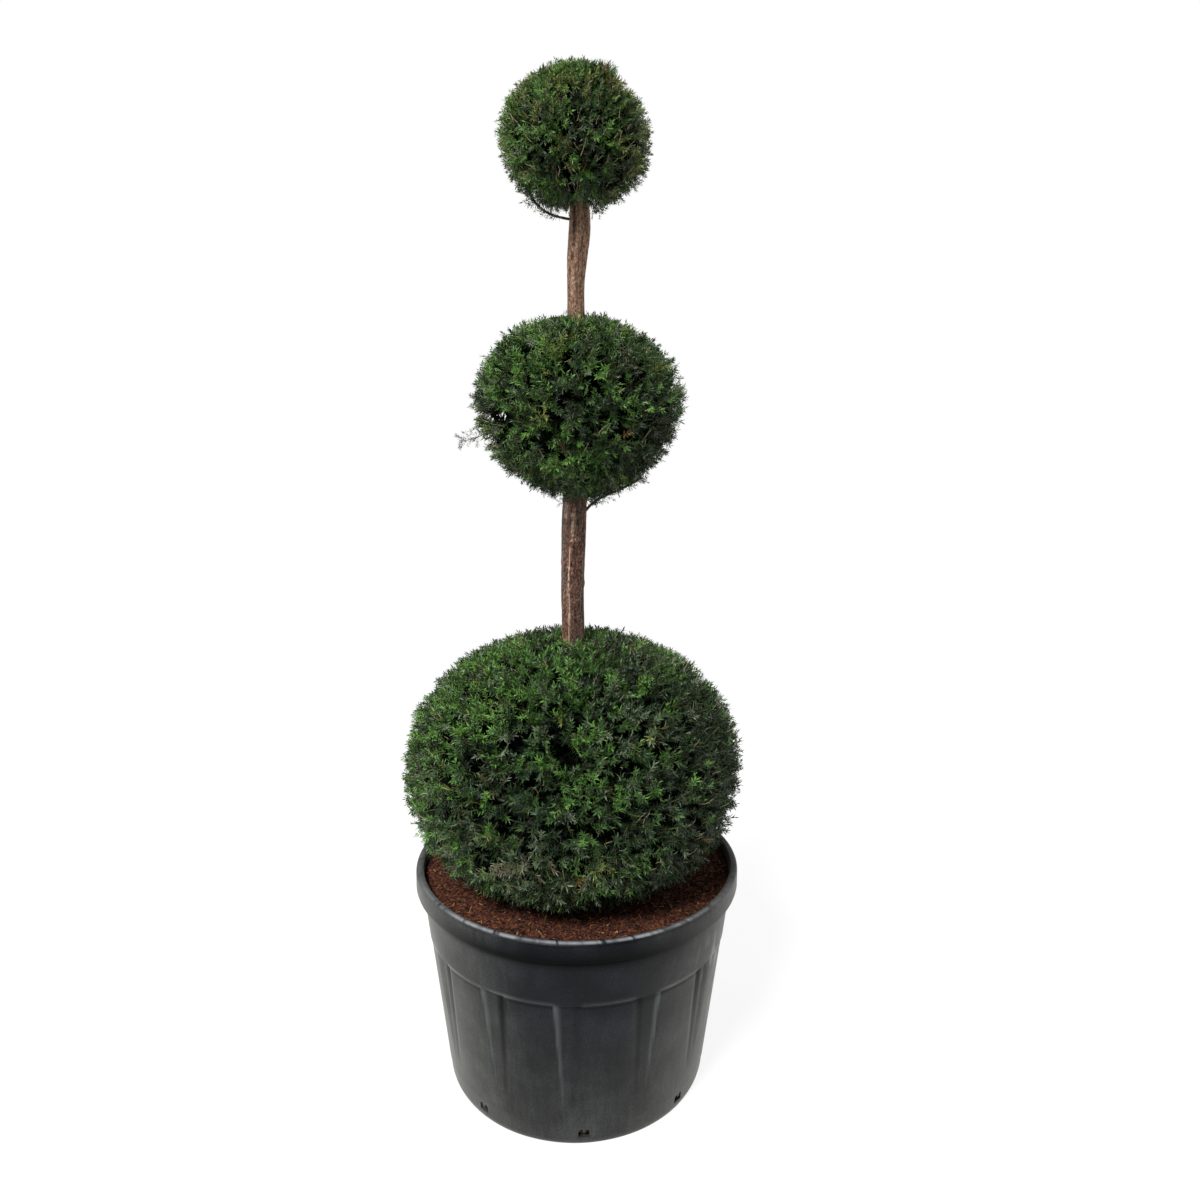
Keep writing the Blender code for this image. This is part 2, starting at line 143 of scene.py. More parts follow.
def maths(tree, operation, first, second=None, **settings):
    given = {0: first} if second is None else {0: first, 1: second}
    return addNode(tree, "ShaderNodeMath", given, operation=operation, **settings)


def ownValue(tree, label):
    # a number that the points of the mesh carry
    return addNode(tree, "ShaderNodeAttribute", attribute_name=label).outputs["Fac"]


def bumpFrom(tree, height, strength, distance, **more):
    return addNode(tree, "ShaderNodeBump", {
        "Height": height, "Strength": strength, "Distance": distance, **more})


def newGeometryTree(name, sockets):
    # a Geometry Nodes tree with a Geometry input, the named inputs and a Geometry output
    tree = bpy.data.node_groups.new(name, "GeometryNodeTree")
    tree.interface.new_socket("Geometry", in_out="INPUT", socket_type="NodeSocketGeometry")
    for label, (kind, value) in {**sockets, "Finish": ("Material", None)}.items():
        socket = tree.interface.new_socket(label, in_out="INPUT", socket_type="NodeSocket" + kind)
        if value is not None:
            socket.default_value = value
    tree.interface.new_socket("Geometry", in_out="OUTPUT", socket_type="NodeSocketGeometry")
    return tree, addNode(tree, "NodeGroupInput").outputs


def endTree(tree, geometry, given):
    # real faces in the piece's own finish
    real = addNode(tree, "GeometryNodeRealizeInstances", {"Geometry": geometry})
    painted = addNode(tree, "GeometryNodeSetMaterial", {"Geometry": real, "Material": given["Finish"]})
    addNode(tree, "NodeGroupOutput", {"Geometry": painted})
    return tree


def intoScene(name, content):
    obj = bpy.data.objects.new(name, content)
    bpy.context.scene.collection.objects.link(obj)
    return obj


def evaluatedMesh(obj):
    return bpy.data.meshes.new_from_object(obj.evaluated_get(bpy.context.evaluated_depsgraph_get()))


def runGeometryTree(name, mesh, tree, values):
    # a plain mesh object made by the tree on the mesh, with nothing live left on it
    holder = intoScene(name, mesh)
    modifier = holder.modifiers.new("grow", "NODES")
    modifier.node_group = tree
    for item in tree.interface.items_tree:
        if item.in_out == "INPUT" and item.name in values:
            modifier[item.identifier] = values[item.name]
    made = evaluatedMesh(holder)
    holder.modifiers.clear()
    holder.data = made
    return holder


def meshWith(name, verts, edges, faces, attributes=None):
    # a mesh whose points carry attributes: {name: (type, rows)}
    mesh = bpy.data.meshes.new(name)
    mesh.from_pydata(verts, edges, faces)
    for label, (kind, rows) in (attributes or {}).items():
        values = np.array(rows, np.int32 if kind == "INT" else np.float32).ravel()
        key = "vector" if kind == "FLOAT_VECTOR" else "value"
        mesh.attributes.new(label, kind, "POINT").data.foreach_set(key, values)
    return mesh


def finished(obj, replaced=()):
    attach(obj, "root")
    if replaced:
        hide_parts(*replaced)
    return obj


def addPiece(name, mesh, material, nodes, smooth=True):
    if smooth:
        mesh.shade_smooth()
    mesh.materials.clear()
    mesh.materials.append(material)
    return finished(intoScene(name, mesh), nodes)


def waves(x, y, z):
    # smooth unevenness at a place, -1 to 1
    return noise.noise(Vector((x, y, z)))


def peak(offset, halfWidth, power=2):
    # 1 in the middle of a mark and near 0 past its half width
    return math.exp(-((offset / halfWidth) ** power))


def clamped(value):
    return min(1.0, max(0.0, value))


def smoothStep(low, high, value):
    share = clamped((value - low) / (high - low))
    return share * share * (3 - 2 * share)


cameraPlace = {
    "position": (0.0, -2.083, 1.558),
    "yaw": 1.384,             # degrees to the right
    "pitch": 6.907,           # degrees down
    "roll": 0.337,
    "frameSide": 1200,        # pixels
    "focalLength": 900,       # in the same pixels
    "axisRow": 530,           # row of the frame that the lens axis meets
    "sensorWidth": 36,        # mm
}


def placeCamera():
    lens = bpy.data.cameras.new("view")
    side = cameraPlace["frameSide"]
    lens.sensor_fit = "HORIZONTAL"
    lens.sensor_width = cameraPlace["sensorWidth"]
    lens.lens = lens.sensor_width * cameraPlace["focalLength"] / side
    lens.shift_y = (cameraPlace["axisRow"] - side / 2) / side
    yaw, pitch, roll = (math.radians(cameraPlace[key]) for key in ("yaw", "pitch", "roll"))
    forward = Vector((math.sin(yaw) * math.cos(pitch), math.cos(yaw) * math.cos(pitch), -math.sin(pitch)))
    sideways = Vector((math.cos(yaw), -math.sin(yaw), 0))
    above = sideways.cross(forward)
    right = sideways * math.cos(roll) + above * math.sin(roll)
    up = above * math.cos(roll) - sideways * math.sin(roll)
    turn = Matrix((right, up, -forward)).transposed().to_4x4()
    camera = intoScene("view", lens)
    camera.matrix_world = Matrix.Translation(cameraPlace["position"]) @ turn
    bpy.context.scene.camera = camera


studio = {
    "seenBackground": 1.0,
    "fill": 0.22,             # strength of the even white light from all round
    "floorColour": "#6e6e6d",
    "floorGlow": 0.87,        # a lit table, so that shadows on it stay faint
    "floorRadius": 2.4,
    "keyDirection": (0.45, 0.72, -0.97),   # the key light falls from the upper left in front
    "keyStrength": 3.8,
    "keySoftness": 16,        # degrees across
    "panels": {"leftPanel": (-3.4, 1.5, 1.3), "rightPanel": (3.4, 1.5, 1.3)},
    "panelAim": (0.0, 0.0, 0.9),
    "panelSize": (1.6, 3.2),
    "panelWatts": 60,
}


def lightStudio():
    scene = bpy.context.scene
    scene.view_settings.view_transform = "Standard"
    scene.world = bpy.data.worlds.new("studio")
    scene.world.use_nodes = True
    tree = scene.world.node_tree
    background = tree.nodes["Background"]
    background.inputs["Color"].default_value = linear("#ffffff")
    rays = addNode(tree, "ShaderNodeLightPath")
    strength = rescaled(tree, rays.outputs["Is Camera Ray"], 0, 1, studio["fill"], studio["seenBackground"])
    tree.links.new(socketOf(strength), background.inputs["Strength"])
    key = bpy.data.lights.new("key", "SUN")
    key.energy = studio["keyStrength"]
    key.angle = math.radians(studio["keySoftness"])
    intoScene("key", key).rotation_euler = Vector(studio["keyDirection"]).to_track_quat("-Z", "Y").to_euler()
    for name, position in studio["panels"].items():
        lamp = bpy.data.lights.new(name, "AREA")
        lamp.shape = "RECTANGLE"
        lamp.size, lamp.size_y = studio["panelSize"]
        lamp.energy = studio["panelWatts"]
        toward = (Vector(studio["panelAim"]) - Vector(position)).to_track_quat("-Z", "Y")
        intoScene(name, lamp).matrix_world = Matrix.Translation(position) @ toward.to_matrix().to_4x4()


def layFloor():
    # a round pale matt table top, lit from below
    shape = bmesh.new()
    bmesh.ops.create_circle(shape, cap_ends=True, segments=64, radius=studio["floorRadius"])
    mesh = bpy.data.meshes.new("studioFloor")
    shape.to_mesh(mesh)
    shape.free()
    # opal acrylic sheet, matt, with lamps under it
    mesh.materials.append(newMaterial(
        "opalAcrylic", 0.95, colour=studio["floorColour"],
        Emission_Color=linear("#ffffff"), Emission_Strength=studio["floorGlow"]))
    intoScene("studioFloor", mesh)


placeCamera()
lightStudio()
layFloor()
print("camera, light and floor placed")


trunk = {
    "stations": (             # height, radius, x, y of its middle line
        (0.4943, 0.0620, -0.0100, 0.0000), (0.520, 0.0480, -0.0100, 0.0000),
        (0.570, 0.0370, -0.0105, 0.0010), (0.700, 0.0315, -0.0095, 0.0030),
        (0.900, 0.0285, -0.0110, 0.0020), (1.090, 0.0271, -0.0124, 0.0000),
        (1.187, 0.0278, -0.0138, -0.0015), (1.330, 0.0291, -0.0106, 0.0000),
        (1.500, 0.0265, -0.0060, 0.0030), (1.700, 0.0222, -0.0070, 0.0020),
        (1.850, 0.0202, -0.0076, 0.0000), (1.917, 0.0232, -0.0053, -0.0010),
        (1.993, 0.0247, 0.0001, 0.0000), (2.090, 0.0190, -0.0040, 0.0020),
        (2.200, 0.0110, -0.0110, 0.0020), (2.288, 0.0035, -0.0130, 0.0000),
    ),
    "flutes": ((3, 0.045, 0.4), (5, 0.035, 1.9)),   # lobes, depth as a share, turn
    "sides": 72,
    "ringHeight": 0.0040,
    "tipFade": 0.12,          # height under the tip in which the relief dies out
    "bareShare": 0.955,       # bare radius under the relief, as a share
    # relief of the bark: how often it repeats in a metre across and in height, and its depth
    "plates": (70, 11, 0.0013),
    "cracks": (95, 8, 0.0009),
    "crackWidth": 0.09,
    "grain": (420, 90, 0.0005),
    "stripSway": (5, 9),      # degrees that a strip wanders, and how often
    "stripTear": (0.3, 130),  # how often a strip's edge is torn, by degree and by metre
    "stripEnd": 0.005,
    "knotCollar": (1, 2.2),   # strength and tightness of a knot's collar, and of the dimple in its middle
    "knotDimple": (0.45, 18),
    "knots": (                # turn from the front in degrees, height, size, how far it stands out
        (-18, 1.288, 0.010, 0.0034), (20, 1.286, 0.009, 0.0030), (-60, 1.232, 0.010, 0.0030),
        (35, 1.140, 0.008, 0.0022), (150, 1.262, 0.012, 0.0035), (95, 1.180, 0.010, 0.0030),
        (-20, 1.905, 0.009, 0.0030), (48, 1.958, 0.010, 0.0034), (170, 1.930, 0.011, 0.0030),
        (12, 1.862, 0.007, 0.0022), (-120, 1.890, 0.009, 0.0028), (-150, 1.110, 0.010, 0.0028),
    ),
    # strips where bark came away, the first and narrowest a painted highlight along a ridge: turn, from
    # height, to height, half width in degrees, strength, raggedness
    "paleStripsAndHighlight": (
        (-17, 0.98, 1.276, 3.6, 0.92, 0.8), (-4, 1.290, 1.352, 9, 1.0, 1.5), (0, 1.279, 1.291, 28, 1.0, 1.8),
        (-42, 1.330, 1.375, 15, 0.86, 1.0), (-20, 1.300, 1.37, 34, 0.6, 1.4), (0, 1.78, 2.06, 46, 0.62, 0.8),
        (62, 1.80, 2.04, 30, 0.58, 0.8), (-70, 1.80, 2.03, 26, 0.5, 0.8), (118, 1.05, 1.30, 10, 0.7, 0.8),
        (-140, 1.10, 1.36, 12, 0.7, 0.8), (160, 1.80, 2.04, 40, 0.6, 0.8),
    ),
    "rustyStrips": (
        (-28, 1.910, 1.936, 9, 0.9, 0.8), (-28, 1.942, 2.06, 10, 0.9, 0.8), (-26, 1.300, 1.335, 8, 0.7, 1.2),
        (24, 1.93, 1.97, 7, 0.5, 0.8), (2, 1.85, 1.88, 8, 0.4, 0.8), (10, 1.20, 1.27, 7, 0.5, 0.8),
        (130, 1.90, 2.00, 9, 0.7, 0.8), (-120, 1.15, 1.30, 8, 0.7, 0.8),
    ),
}

boughs = {
    "middleRightBough": {
        "points": (
            (0.004, 0, 1.338), (0.044, -0.010, 1.378), (0.100, -0.022, 1.405), (0.146, -0.030, 1.430)),
        "radii": (0.0042, 0.0028),
        "node": "bough_middle_right",
        "ball": "foliage_middle",
        "shoots": 46,
    },
    "topLeftBough": {
        "points": (
            (-0.006, 0, 2.003), (-0.060, -0.010, 2.012), (-0.096, -0.016, 2.035), (-0.118, -0.018, 2.068)),
        "radii": (0.0036, 0.0024),
        "node": "bough_top_left",
        "ball": "foliage_top",
        "shoots": 26,
    },
}

boughBark = {
    "sides": 18,
    "partsBetween": 24,
    "bareShare": 0.85,
    "plateRates": (160, 40),
    "plateDepth": 0.0006,
}


def between(first, second, third, fourth, share):
    # a smooth curve from the second value to the third
    return 0.5 * (2 * second + (third - first) * share
                  + (2 * first - 5 * second + 4 * third - fourth) * share**2
                  + (3 * (second - third) + fourth - first) * share**3)


def smoothed(stations, partsBetween):
    # the stations with smooth ones added between each pair
    last = len(stations) - 1
    rows = []
    for index in range(last):
        around = [stations[min(max(index + step, 0), last)] for step in (-1, 0, 1, 2)]
        for part in range(partsBetween):
            rows.append(tuple(between(*values, part / partsBetween) for values in zip(*around)))
    rows.append(stations[-1])
    return rows


trunkLine = np.array(smoothed(trunk["stations"], 8))


def trunkAt(height):
    # the middle of the trunk and its radius at a height
    radius, x, y = (float(np.interp(height, trunkLine[:, 0], trunkLine[:, column])) for column in (1, 2, 3))
    return Vector((x, y, height)), radius


def turnFrom(angle, place):
    # degrees between two turns, -180 to 180
    return (angle - place + 180) % 360 - 180


def barkRelief(around, height, turn):
    # how far the bark stands out, and how deep its fissures are: long plates with cracks between
    across, tall, plateDepth = trunk["plates"]
    plates = waves(around.x * across, around.y * across, height * tall)
    across, tall, crackDepth = trunk["cracks"]
    cracks = abs(waves(around.x * across + 9, around.y * across, height * tall))
    across, tall, grainDepth = trunk["grain"]
    grain = waves(around.x * across, around.y * across, height * tall + 5)
    fissure = max(0.0, 1 - cracks / trunk["crackWidth"])
    out = plateDepth * plates - crackDepth * fissure + grainDepth * grain
    for place, knotHeight, size, stand in trunk["knots"]:
        away = math.hypot(math.radians(turnFrom(turn, place)) * around.length, height - knotHeight) / size
        if away < 2:
            collar, dimple = (strength * math.exp(-tight * away * away)
                              for strength, tight in (trunk["knotCollar"], trunk["knotDimple"]))
            out += stand * (collar - dimple)
    return out, fissure


def inStrips(strips, height, turn):
    # how far a place is inside long ragged strips where bark came away, or inside the painted highlight line
    swayBy, swayRate = trunk["stripSway"]
    tearTurn, tearRate = trunk["stripTear"]
    most = 0.0
    for place, low, high, width, strength, ragged in strips:
        sway = swayBy * waves(place, height * swayRate, 3.0)
        torn = waves(turn * tearTurn, height * tearRate, place) - 0.2
        rough = strength * (1.15 + ragged * torn)
        ends = clamped((height - low) / trunk["stripEnd"]) * clamped((high - height) / trunk["stripEnd"])
        here = ends * rough * peak(turnFrom(turn, place + sway), width, 4)
        most = max(most, min(strength, here))
    return most


def tubeFaces(rings, sides):
    faces = [tuple(range(sides - 1, -1, -1)), tuple((rings - 1) * sides + side for side in range(sides))]
    for ring in range(rings - 1):
        for side in range(sides):
            here, beside = ring * sides + side, ring * sides + (side + 1) % sides
            faces.append((here, beside, beside + sides, here + sides))
    return faces


def roundWays(sides):
    # the angle and the outward direction of each side of a tube
    for side in range(sides):
        angle = math.tau * side / sides
        yield angle, Vector((math.cos(angle), math.sin(angle), 0))


def makeTrunk():
    low, high = trunkLine[0, 0], trunkLine[-1, 0]
    rings = int((high - low) / trunk["ringHeight"])
    verts, pale, rusty, deep = [], [], [], []
    for ring in range(rings + 1):
        height = low + (high - low) * ring / rings
        middle, radius = trunkAt(height)
        fade = min(1.0, (high - height) / trunk["tipFade"])
        for angle, outward in roundWays(trunk["sides"]):
            turn = math.degrees(angle) + 90
            lobes = 1 + sum(depth * math.cos(count * angle + start)
                            for count, depth, start in trunk["flutes"])
            relief, fissure = barkRelief(outward * radius, height, turn)
            verts.append(middle + outward * (radius * trunk["bareShare"] * lobes + relief * fade))
            pale.append(inStrips(trunk["paleStripsAndHighlight"], height, turn))
            rusty.append(inStrips(trunk["rustyStrips"], height, turn))
            deep.append(fissure)
    return meshWith("trunkBark", verts, [], tubeFaces(rings + 1, trunk["sides"]), {
        "pale": ("FLOAT", pale), "rusty": ("FLOAT", rusty), "fissure": ("FLOAT", deep)})


def makeBough(bough):
    # a tapering limb through its points, with a fine relief of its own
    rows = [Vector(place) for place in smoothed(bough["points"], boughBark["partsBetween"])]
    thick, thin = bough["radii"]
    across, tall = boughBark["plateRates"]
    last = len(rows) - 1
    verts = []
    for index, place in enumerate(rows):
        turn = (rows[min(index + 1, last)] - rows[max(index - 1, 0)]).to_track_quat("Z", "Y")
        share = index / last
        radius = thick + share * (thin - thick)
        for _, outward in roundWays(boughBark["sides"]):
            spot = outward * radius * 2
            plates = waves(spot.x * across, spot.y * across, share * 0.5 * tall)
            verts.append(place + turn @ outward * (
                radius * boughBark["bareShare"] + boughBark["plateDepth"] * plates))
    return meshWith("boughBark", verts, [], tubeFaces(len(rows), boughBark["sides"]))


def makeBarkMaterial():
    # Yew bark: thin plates that flake in long strips. Satin and a little ragged, red-brown under grey.
    material = newMaterial("flakingYewBark", 0.74, Specular_IOR_Level=0.35)
    tree = material.node_tree
    place = objectPlace(tree)
    along = drawnOut(tree, place, 0.14)
    # strips about 9 mm across and 60 mm long, patches about 30 mm, flecks about 4 mm
    strips = noiseOn(tree, along, 110, 5, Roughness=0.62)
    patches = noiseOn(tree, along, 34, 3)
    flecks = noiseOn(tree, drawnOut(tree, place, 0.6), 260, 4, Roughness=0.7)
    mottle = mixNumbers(tree, 0.68, strips, flecks)
    red = ramp(tree, mottle, (0.39, "#1c110c"), (0.46, "#43281c"), (0.51, "#623f2f"), (0.57, "#86604e"),
               (0.64, "#b59078"))
    grey = ramp(tree, flecks, (0.38, "#2e2520"), (0.62, "#7f6d61"))
    colour = mixColours(tree, rescaled(tree, patches, 0.48, 0.62, 0.0, 0.7), red, grey)
    # inner bark where a strip came away, palest where it is fresh, with a painted highlight line on the
    # trunk's front, then rust and dark cracks
    bare = ramp(tree, mottle, (0.39, "#5a3d2a"), (0.50, "#91705a"), (0.61, "#c6a58a"))
    pale = ownValue(tree, "pale")
    # the pale strips include one painted highlight line along a ridge of the trunk's front
    colour = mixColours(tree, rescaled(tree, pale, 0.0, 0.6, 0.0, 1.0), colour, bare)
    colour = mixColours(tree, rescaled(tree, pale, 0.64, 0.88, 0.0, 0.85), colour, linear("#e8cfc2"))
    colour = mixColours(tree, ownValue(tree, "rusty"), colour, linear("#351a0b"))
    # darker along the fissures: painted shade in the cracks
    cracks = maths(tree, "MULTIPLY", ownValue(tree, "fissure"), 0.45)
    colour = mixColours(tree, cracks, colour, linear("#24160f"))
    feedShader(tree, Base_Color=colour, Normal=bumpFrom(tree, flecks, 0.6, 0.0014))
    return material


def makeBoughMaterial():
    # Young yew bark on the thin boughs: smooth, satin, dark grey-brown with a little dull green.
    material = newMaterial("youngYewBark", 0.62, Specular_IOR_Level=0.3)
    tree = material.node_tree
    # blotches about 12 mm long
    blotches = noiseOn(tree, objectPlace(tree), 85, 4)
    feedShader(tree, Base_Color=ramp(tree, blotches, (0.35, "#2a241d"), (0.52, "#4b4136"), (0.68, "#756a58")))
    return material


trunkPiece = addPiece("trunkBark", makeTrunk(), makeBarkMaterial(), ["trunk"])
boughMaterial = makeBoughMaterial()
for boughName, bough in boughs.items():
    addPiece(boughName, makeBough(bough), boughMaterial, [bough["node"]])
print("trunk and boughs made:", len(trunkPiece.data.polygons), "faces on the trunk")


pot = {
    "height": 0.511,
    "lipRadius": 0.3852,
    "lipUnderside": 0.467,
    "lipRound": 0.008,
    "mouthRadius": 0.366,
    "bandTopRadius": 0.3695,
    "bandFootRadius": 0.3555,
    "bandSteps": 12,
    "shoulder": 0.356,
    "shoulderRound": 0.0012,
    "panelTopRadius": 0.3535,
    "wallFootRadius": 0.313,
    "wallFoot": 0.046,
    "wallSteps": 56,
    "wall": 0.005,
    "innerStep": 0.013,       # from the panels' face to the inside of the wall at the shoulder
    "wave": 0.0004,           # moulding is never quite true: slow waves under half a millimetre
    "baseRadius": 0.303,
    "floorTop": 0.016,
    "floorMiddle": 0.12,
    "footRingInner": 0.262,
    "footRingDepth": 0.005,
    "steps": 13 * 36,
    "panelCount": 13,
    "panelCentre": -16.5,     # degrees from the front towards +X
    "channelDepth": 0.0065,
    "channelTopWidth": 0.072,
    "channelFootWidth": 0.036,
    "channelFloorShare": 0.5,
    "channelFoot": 0.095,
    "channelTopRound": 0.003,
    "drainCount": 8,
    "drainCentre": 3,
    "drainWidth": 0.025,
    "drainTall": 0.020,
    "drainMiddle": 0.030,
    "drainReach": 0.03,       # how far a cutter goes past the wall, both ways
    "sharpFrom": 38,          # degrees between faces that make a hard edge
}


def facing(angle, radius, height):
    # angle 0 is the front, and it grows towards +X
    return Vector((radius * math.sin(angle), -radius * math.cos(angle), height))


def wallRadius(height):
    share = (height - pot["wallFoot"]) / (pot["shoulder"] - pot["wallFoot"])
    return pot["wallFootRadius"] + share * (pot["panelTopRadius"] - pot["wallFootRadius"])


def fromChannel(angle, height):
    # metres from the middle of the nearest channel between two raised panels
    pitch = math.tau / pot["panelCount"]
    return ((angle - math.radians(pot["panelCentre"])) % pitch - pitch / 2) * wallRadius(height)


def channelWidth(share):
    return pot["channelFootWidth"] + share * (pot["channelTopWidth"] - pot["channelFootWidth"])


def channelDepth(angle, height):
    top = pot["shoulder"] - pot["channelTopRound"]
    if not pot["channelFoot"] < height < pot["shoulder"]:
        return 0.0
    rise = min((height - pot["channelFoot"]) / (top - pot["channelFoot"]), 1)
    half = channelWidth(rise) / 2
    side = 1 - smoothStep(half * pot["channelFloorShare"], half, abs(fromChannel(angle, height)))
    return pot["channelDepth"] * rise**0.8 * side * (1 - smoothStep(top, pot["shoulder"], height))


potShadingAndScuffs = {
    "channelRise": 0.26,      # height in which the painted shade and painted highlight of a channel come to full strength
    "fullDepth": 0.0009,      # depth of channel from which its painted shade and painted highlight are full
    "brightTurn": 8,          # degrees from the front where a channel's painted shade and painted highlight swap sides
    "sideShare": 0.22,        # half width of the painted shade, as a share of the channel
    "paintedFrontTurn": (-6, 46),  # the front, where the painted highlight on the lip and the painted shadow under it are strongest: middle and half width in degrees
    # marks along the turned edges, painted shadow under the band and under the lip, painted shade on the
    # lip's foot and a painted highlight on the band's edge: height from the edge, half height
    "underBand": (-0.004, 0.0034),
    "underLip": (-0.006, 0.011),
    "lipFoot": (0.003, 0.007),
    "bandEdge": (0.0025, 0.0016),
    "rubs": ((63, 0.37, 13, 0.055), (70, 0.22, 8, 0.10)),   # scrapes: turn, height, half width, half tall
    "footShare": 0.35,        # painted shade and highlight at a channel's foot, as a share of those at its top
    "paintedAwayShare": 0.22,        # strength of the lip's painted highlight and painted shadow away from the front
    "shadePlace": (0.33, 0.20),     # where a channel's painted shade lies, from its middle as a share, and how much less where it is steep
    "shadeFade": 2.2,
    "highlightPlace": (0.42, 0.45),     # where a channel's painted highlight lies, from its middle, and width as a share of the painted shade's
    "strength": {"lipFoot": 0.7, "inward": 0.25, "bandEdge": 0.5, "rub": 0.55},
    "bandEdgeFade": 2.4,
    "lipTop": (0.0020, 0.0002),    # from the top down, and from the mouth outwards
    "lipAcross": (0.005, 0.010),
}


def edgeMark(label, edge, height):
    offset, halfTall = potShadingAndScuffs[label]
    return potShadingAndScuffs["strength"].get(label, 1) * peak(height - pot[edge] - offset, halfTall)


def unevenRound(angle, often, start):
    # smooth unevenness on the way round the container
    return noise.noise(facing(angle, often, start))


def paintedLightAndScuffsAt(angle, radius, height, deep):
    # painted shade in the side of each channel that faces outwards, under the band and under the lip, and
    # painted highlight on the opposite side, on the band's lower edge and on top of the lip, with real scuffs
    # at the rubs
    strength, footShare, paintedAwayShare = (potShadingAndScuffs[key] for key in ("strength", "footShare", "paintedAwayShare"))
    share = clamped((height - pot["channelFoot"]) / potShadingAndScuffs["channelRise"])
    width = channelWidth(share)
    fromBright = math.sin(angle - math.radians(potShadingAndScuffs["brightTurn"]))
    across = fromChannel(angle, height) * -math.copysign(1, fromBright)
    sideWidth = width * potShadingAndScuffs["sideShare"]
    onWall = min(1.0, deep / potShadingAndScuffs["fullDepth"]) * (footShare + (1 - footShare) * share)
    middle, lessSteep = potShadingAndScuffs["shadePlace"]
    middle -= lessSteep * smoothStep(0.5, 0.8, abs(math.sin(angle)))
    outward = peak(across - width * middle, sideWidth, 4) * min(1.0, potShadingAndScuffs["shadeFade"] * abs(fromBright))
    middle, narrower = potShadingAndScuffs["highlightPlace"]
    inward = peak(across + width * middle, sideWidth * narrower)
    turn = math.degrees(angle + math.pi) % 360 - 180
    frontMiddle, frontHalf = potShadingAndScuffs["paintedFrontTurn"]
    # strongest at the front: the lip's painted shadow and painted highlight
    paintedFront = paintedAwayShare + (1 - paintedAwayShare) * peak(turn - frontMiddle, frontHalf, 4)
    # painted shade: darker in the outward side of each channel, under the band and under the lip
    paintedShade = outward * onWall + edgeMark("underBand", "shoulder", height) + paintedFront * (
        edgeMark("underLip", "lipUnderside", height) + edgeMark("lipFoot", "lipUnderside", height))
    onLip = smoothStep(*(pot["height"] - down for down in potShadingAndScuffs["lipTop"]), height) * smoothStep(
        *(pot["mouthRadius"] + out for out in potShadingAndScuffs["lipAcross"]), radius)
    nicks = smoothStep(0.24, 0.34, unevenRound(angle, 24.0, 6.0))
    uneven = 0.85 + 0.9 * unevenRound(angle, 7.0, 3.0) + 0.5 * unevenRound(angle, 60.0, 9.0)
    # painted highlight on the visible side of each channel, on the lip's top and on the band's lower edge;
    # the rubs below are real scuffs
    bare = strength["inward"] * inward * onWall + onLip * max(0.0, uneven - 0.8 * nicks) * paintedFront
    bare += edgeMark("bandEdge", "shoulder", height) * max(0.0, 0.5 + unevenRound(angle, 6.0, 1.0)) * min(
        1.0, potShadingAndScuffs["bandEdgeFade"] * abs(math.sin(angle)))
    for place, rubHeight, wide, tall in potShadingAndScuffs["rubs"]:
        near = peak(turn - place, wide) * peak(height - rubHeight, tall)
        bare += strength["rub"] * near * smoothStep(0.05, 0.45, unevenRound(angle, 26.0, height * 30))
    return min(1.0, paintedShade), min(1.0, bare)


def potProfile():
    # (radius, height) from the middle of the floor, up inside, over the lip, down outside, to the underside
    mouth, lip, base, ring = pot["mouthRadius"], pot["lipRadius"], pot["baseRadius"], pot["footRingInner"]
    under, top, bend = pot["lipUnderside"], pot["height"], pot["lipRound"]
    inside = [(0.0, pot["floorTop"]), (pot["floorMiddle"], pot["floorTop"]),
              (base - pot["wall"], pot["floorTop"]),
              (pot["wallFootRadius"] - pot["wall"], pot["wallFoot"]),
              (pot["panelTopRadius"] - pot["innerStep"], pot["shoulder"]),
              (mouth, under), (mouth, top - bend), (mouth + 0.001, top - 0.003), (mouth + 0.004, top)]
    rolled = [(lip - bend + bend * math.sin(math.radians(turn)),
               top - bend + bend * math.cos(math.radians(turn))) for turn in range(0, 91, 15)]
    lipFoot = [(lip, under + 0.005), (lip - 0.0012, under + 0.0015), (lip - 0.004, under),
               (pot["bandTopRadius"] + 0.001, under), (pot["bandTopRadius"] - 0.0003, under - 0.003)]
    # the band ends just over the shoulder, and the wall begins just under it
    bandSteps = pot["bandSteps"]
    bandTaper = pot["bandFootRadius"] - pot["bandTopRadius"]
    bandDrop = pot["shoulder"] + pot["shoulderRound"] - under
    band = [(pot["bandTopRadius"] + bandTaper * step / bandSteps, under + bandDrop * step / bandSteps)
            for step in range(1, bandSteps + 1)]
    wallTop = pot["shoulder"] - pot["shoulderRound"]
    wallDrop, wallSteps = pot["wallFoot"] - wallTop, pot["wallSteps"]
    heights = [wallTop + wallDrop * step / wallSteps for step in range(wallSteps + 1)]
    wall = [(wallRadius(height), height) for height in heights]
    foot = [(pot["wallFootRadius"] - 0.0035, 0.030), (base + 0.0055, 0.016), (base + 0.003, 0.007),
            (base + 0.0005, 0.002), (base - 0.002, 0.0), (ring, 0.0),
            (ring - pot["footRingDepth"], pot["footRingDepth"]), (pot["floorMiddle"], pot["footRingDepth"]),
            (0.0, pot["footRingDepth"])]
    return inside, inside + rolled + lipFoot + band + wall + foot


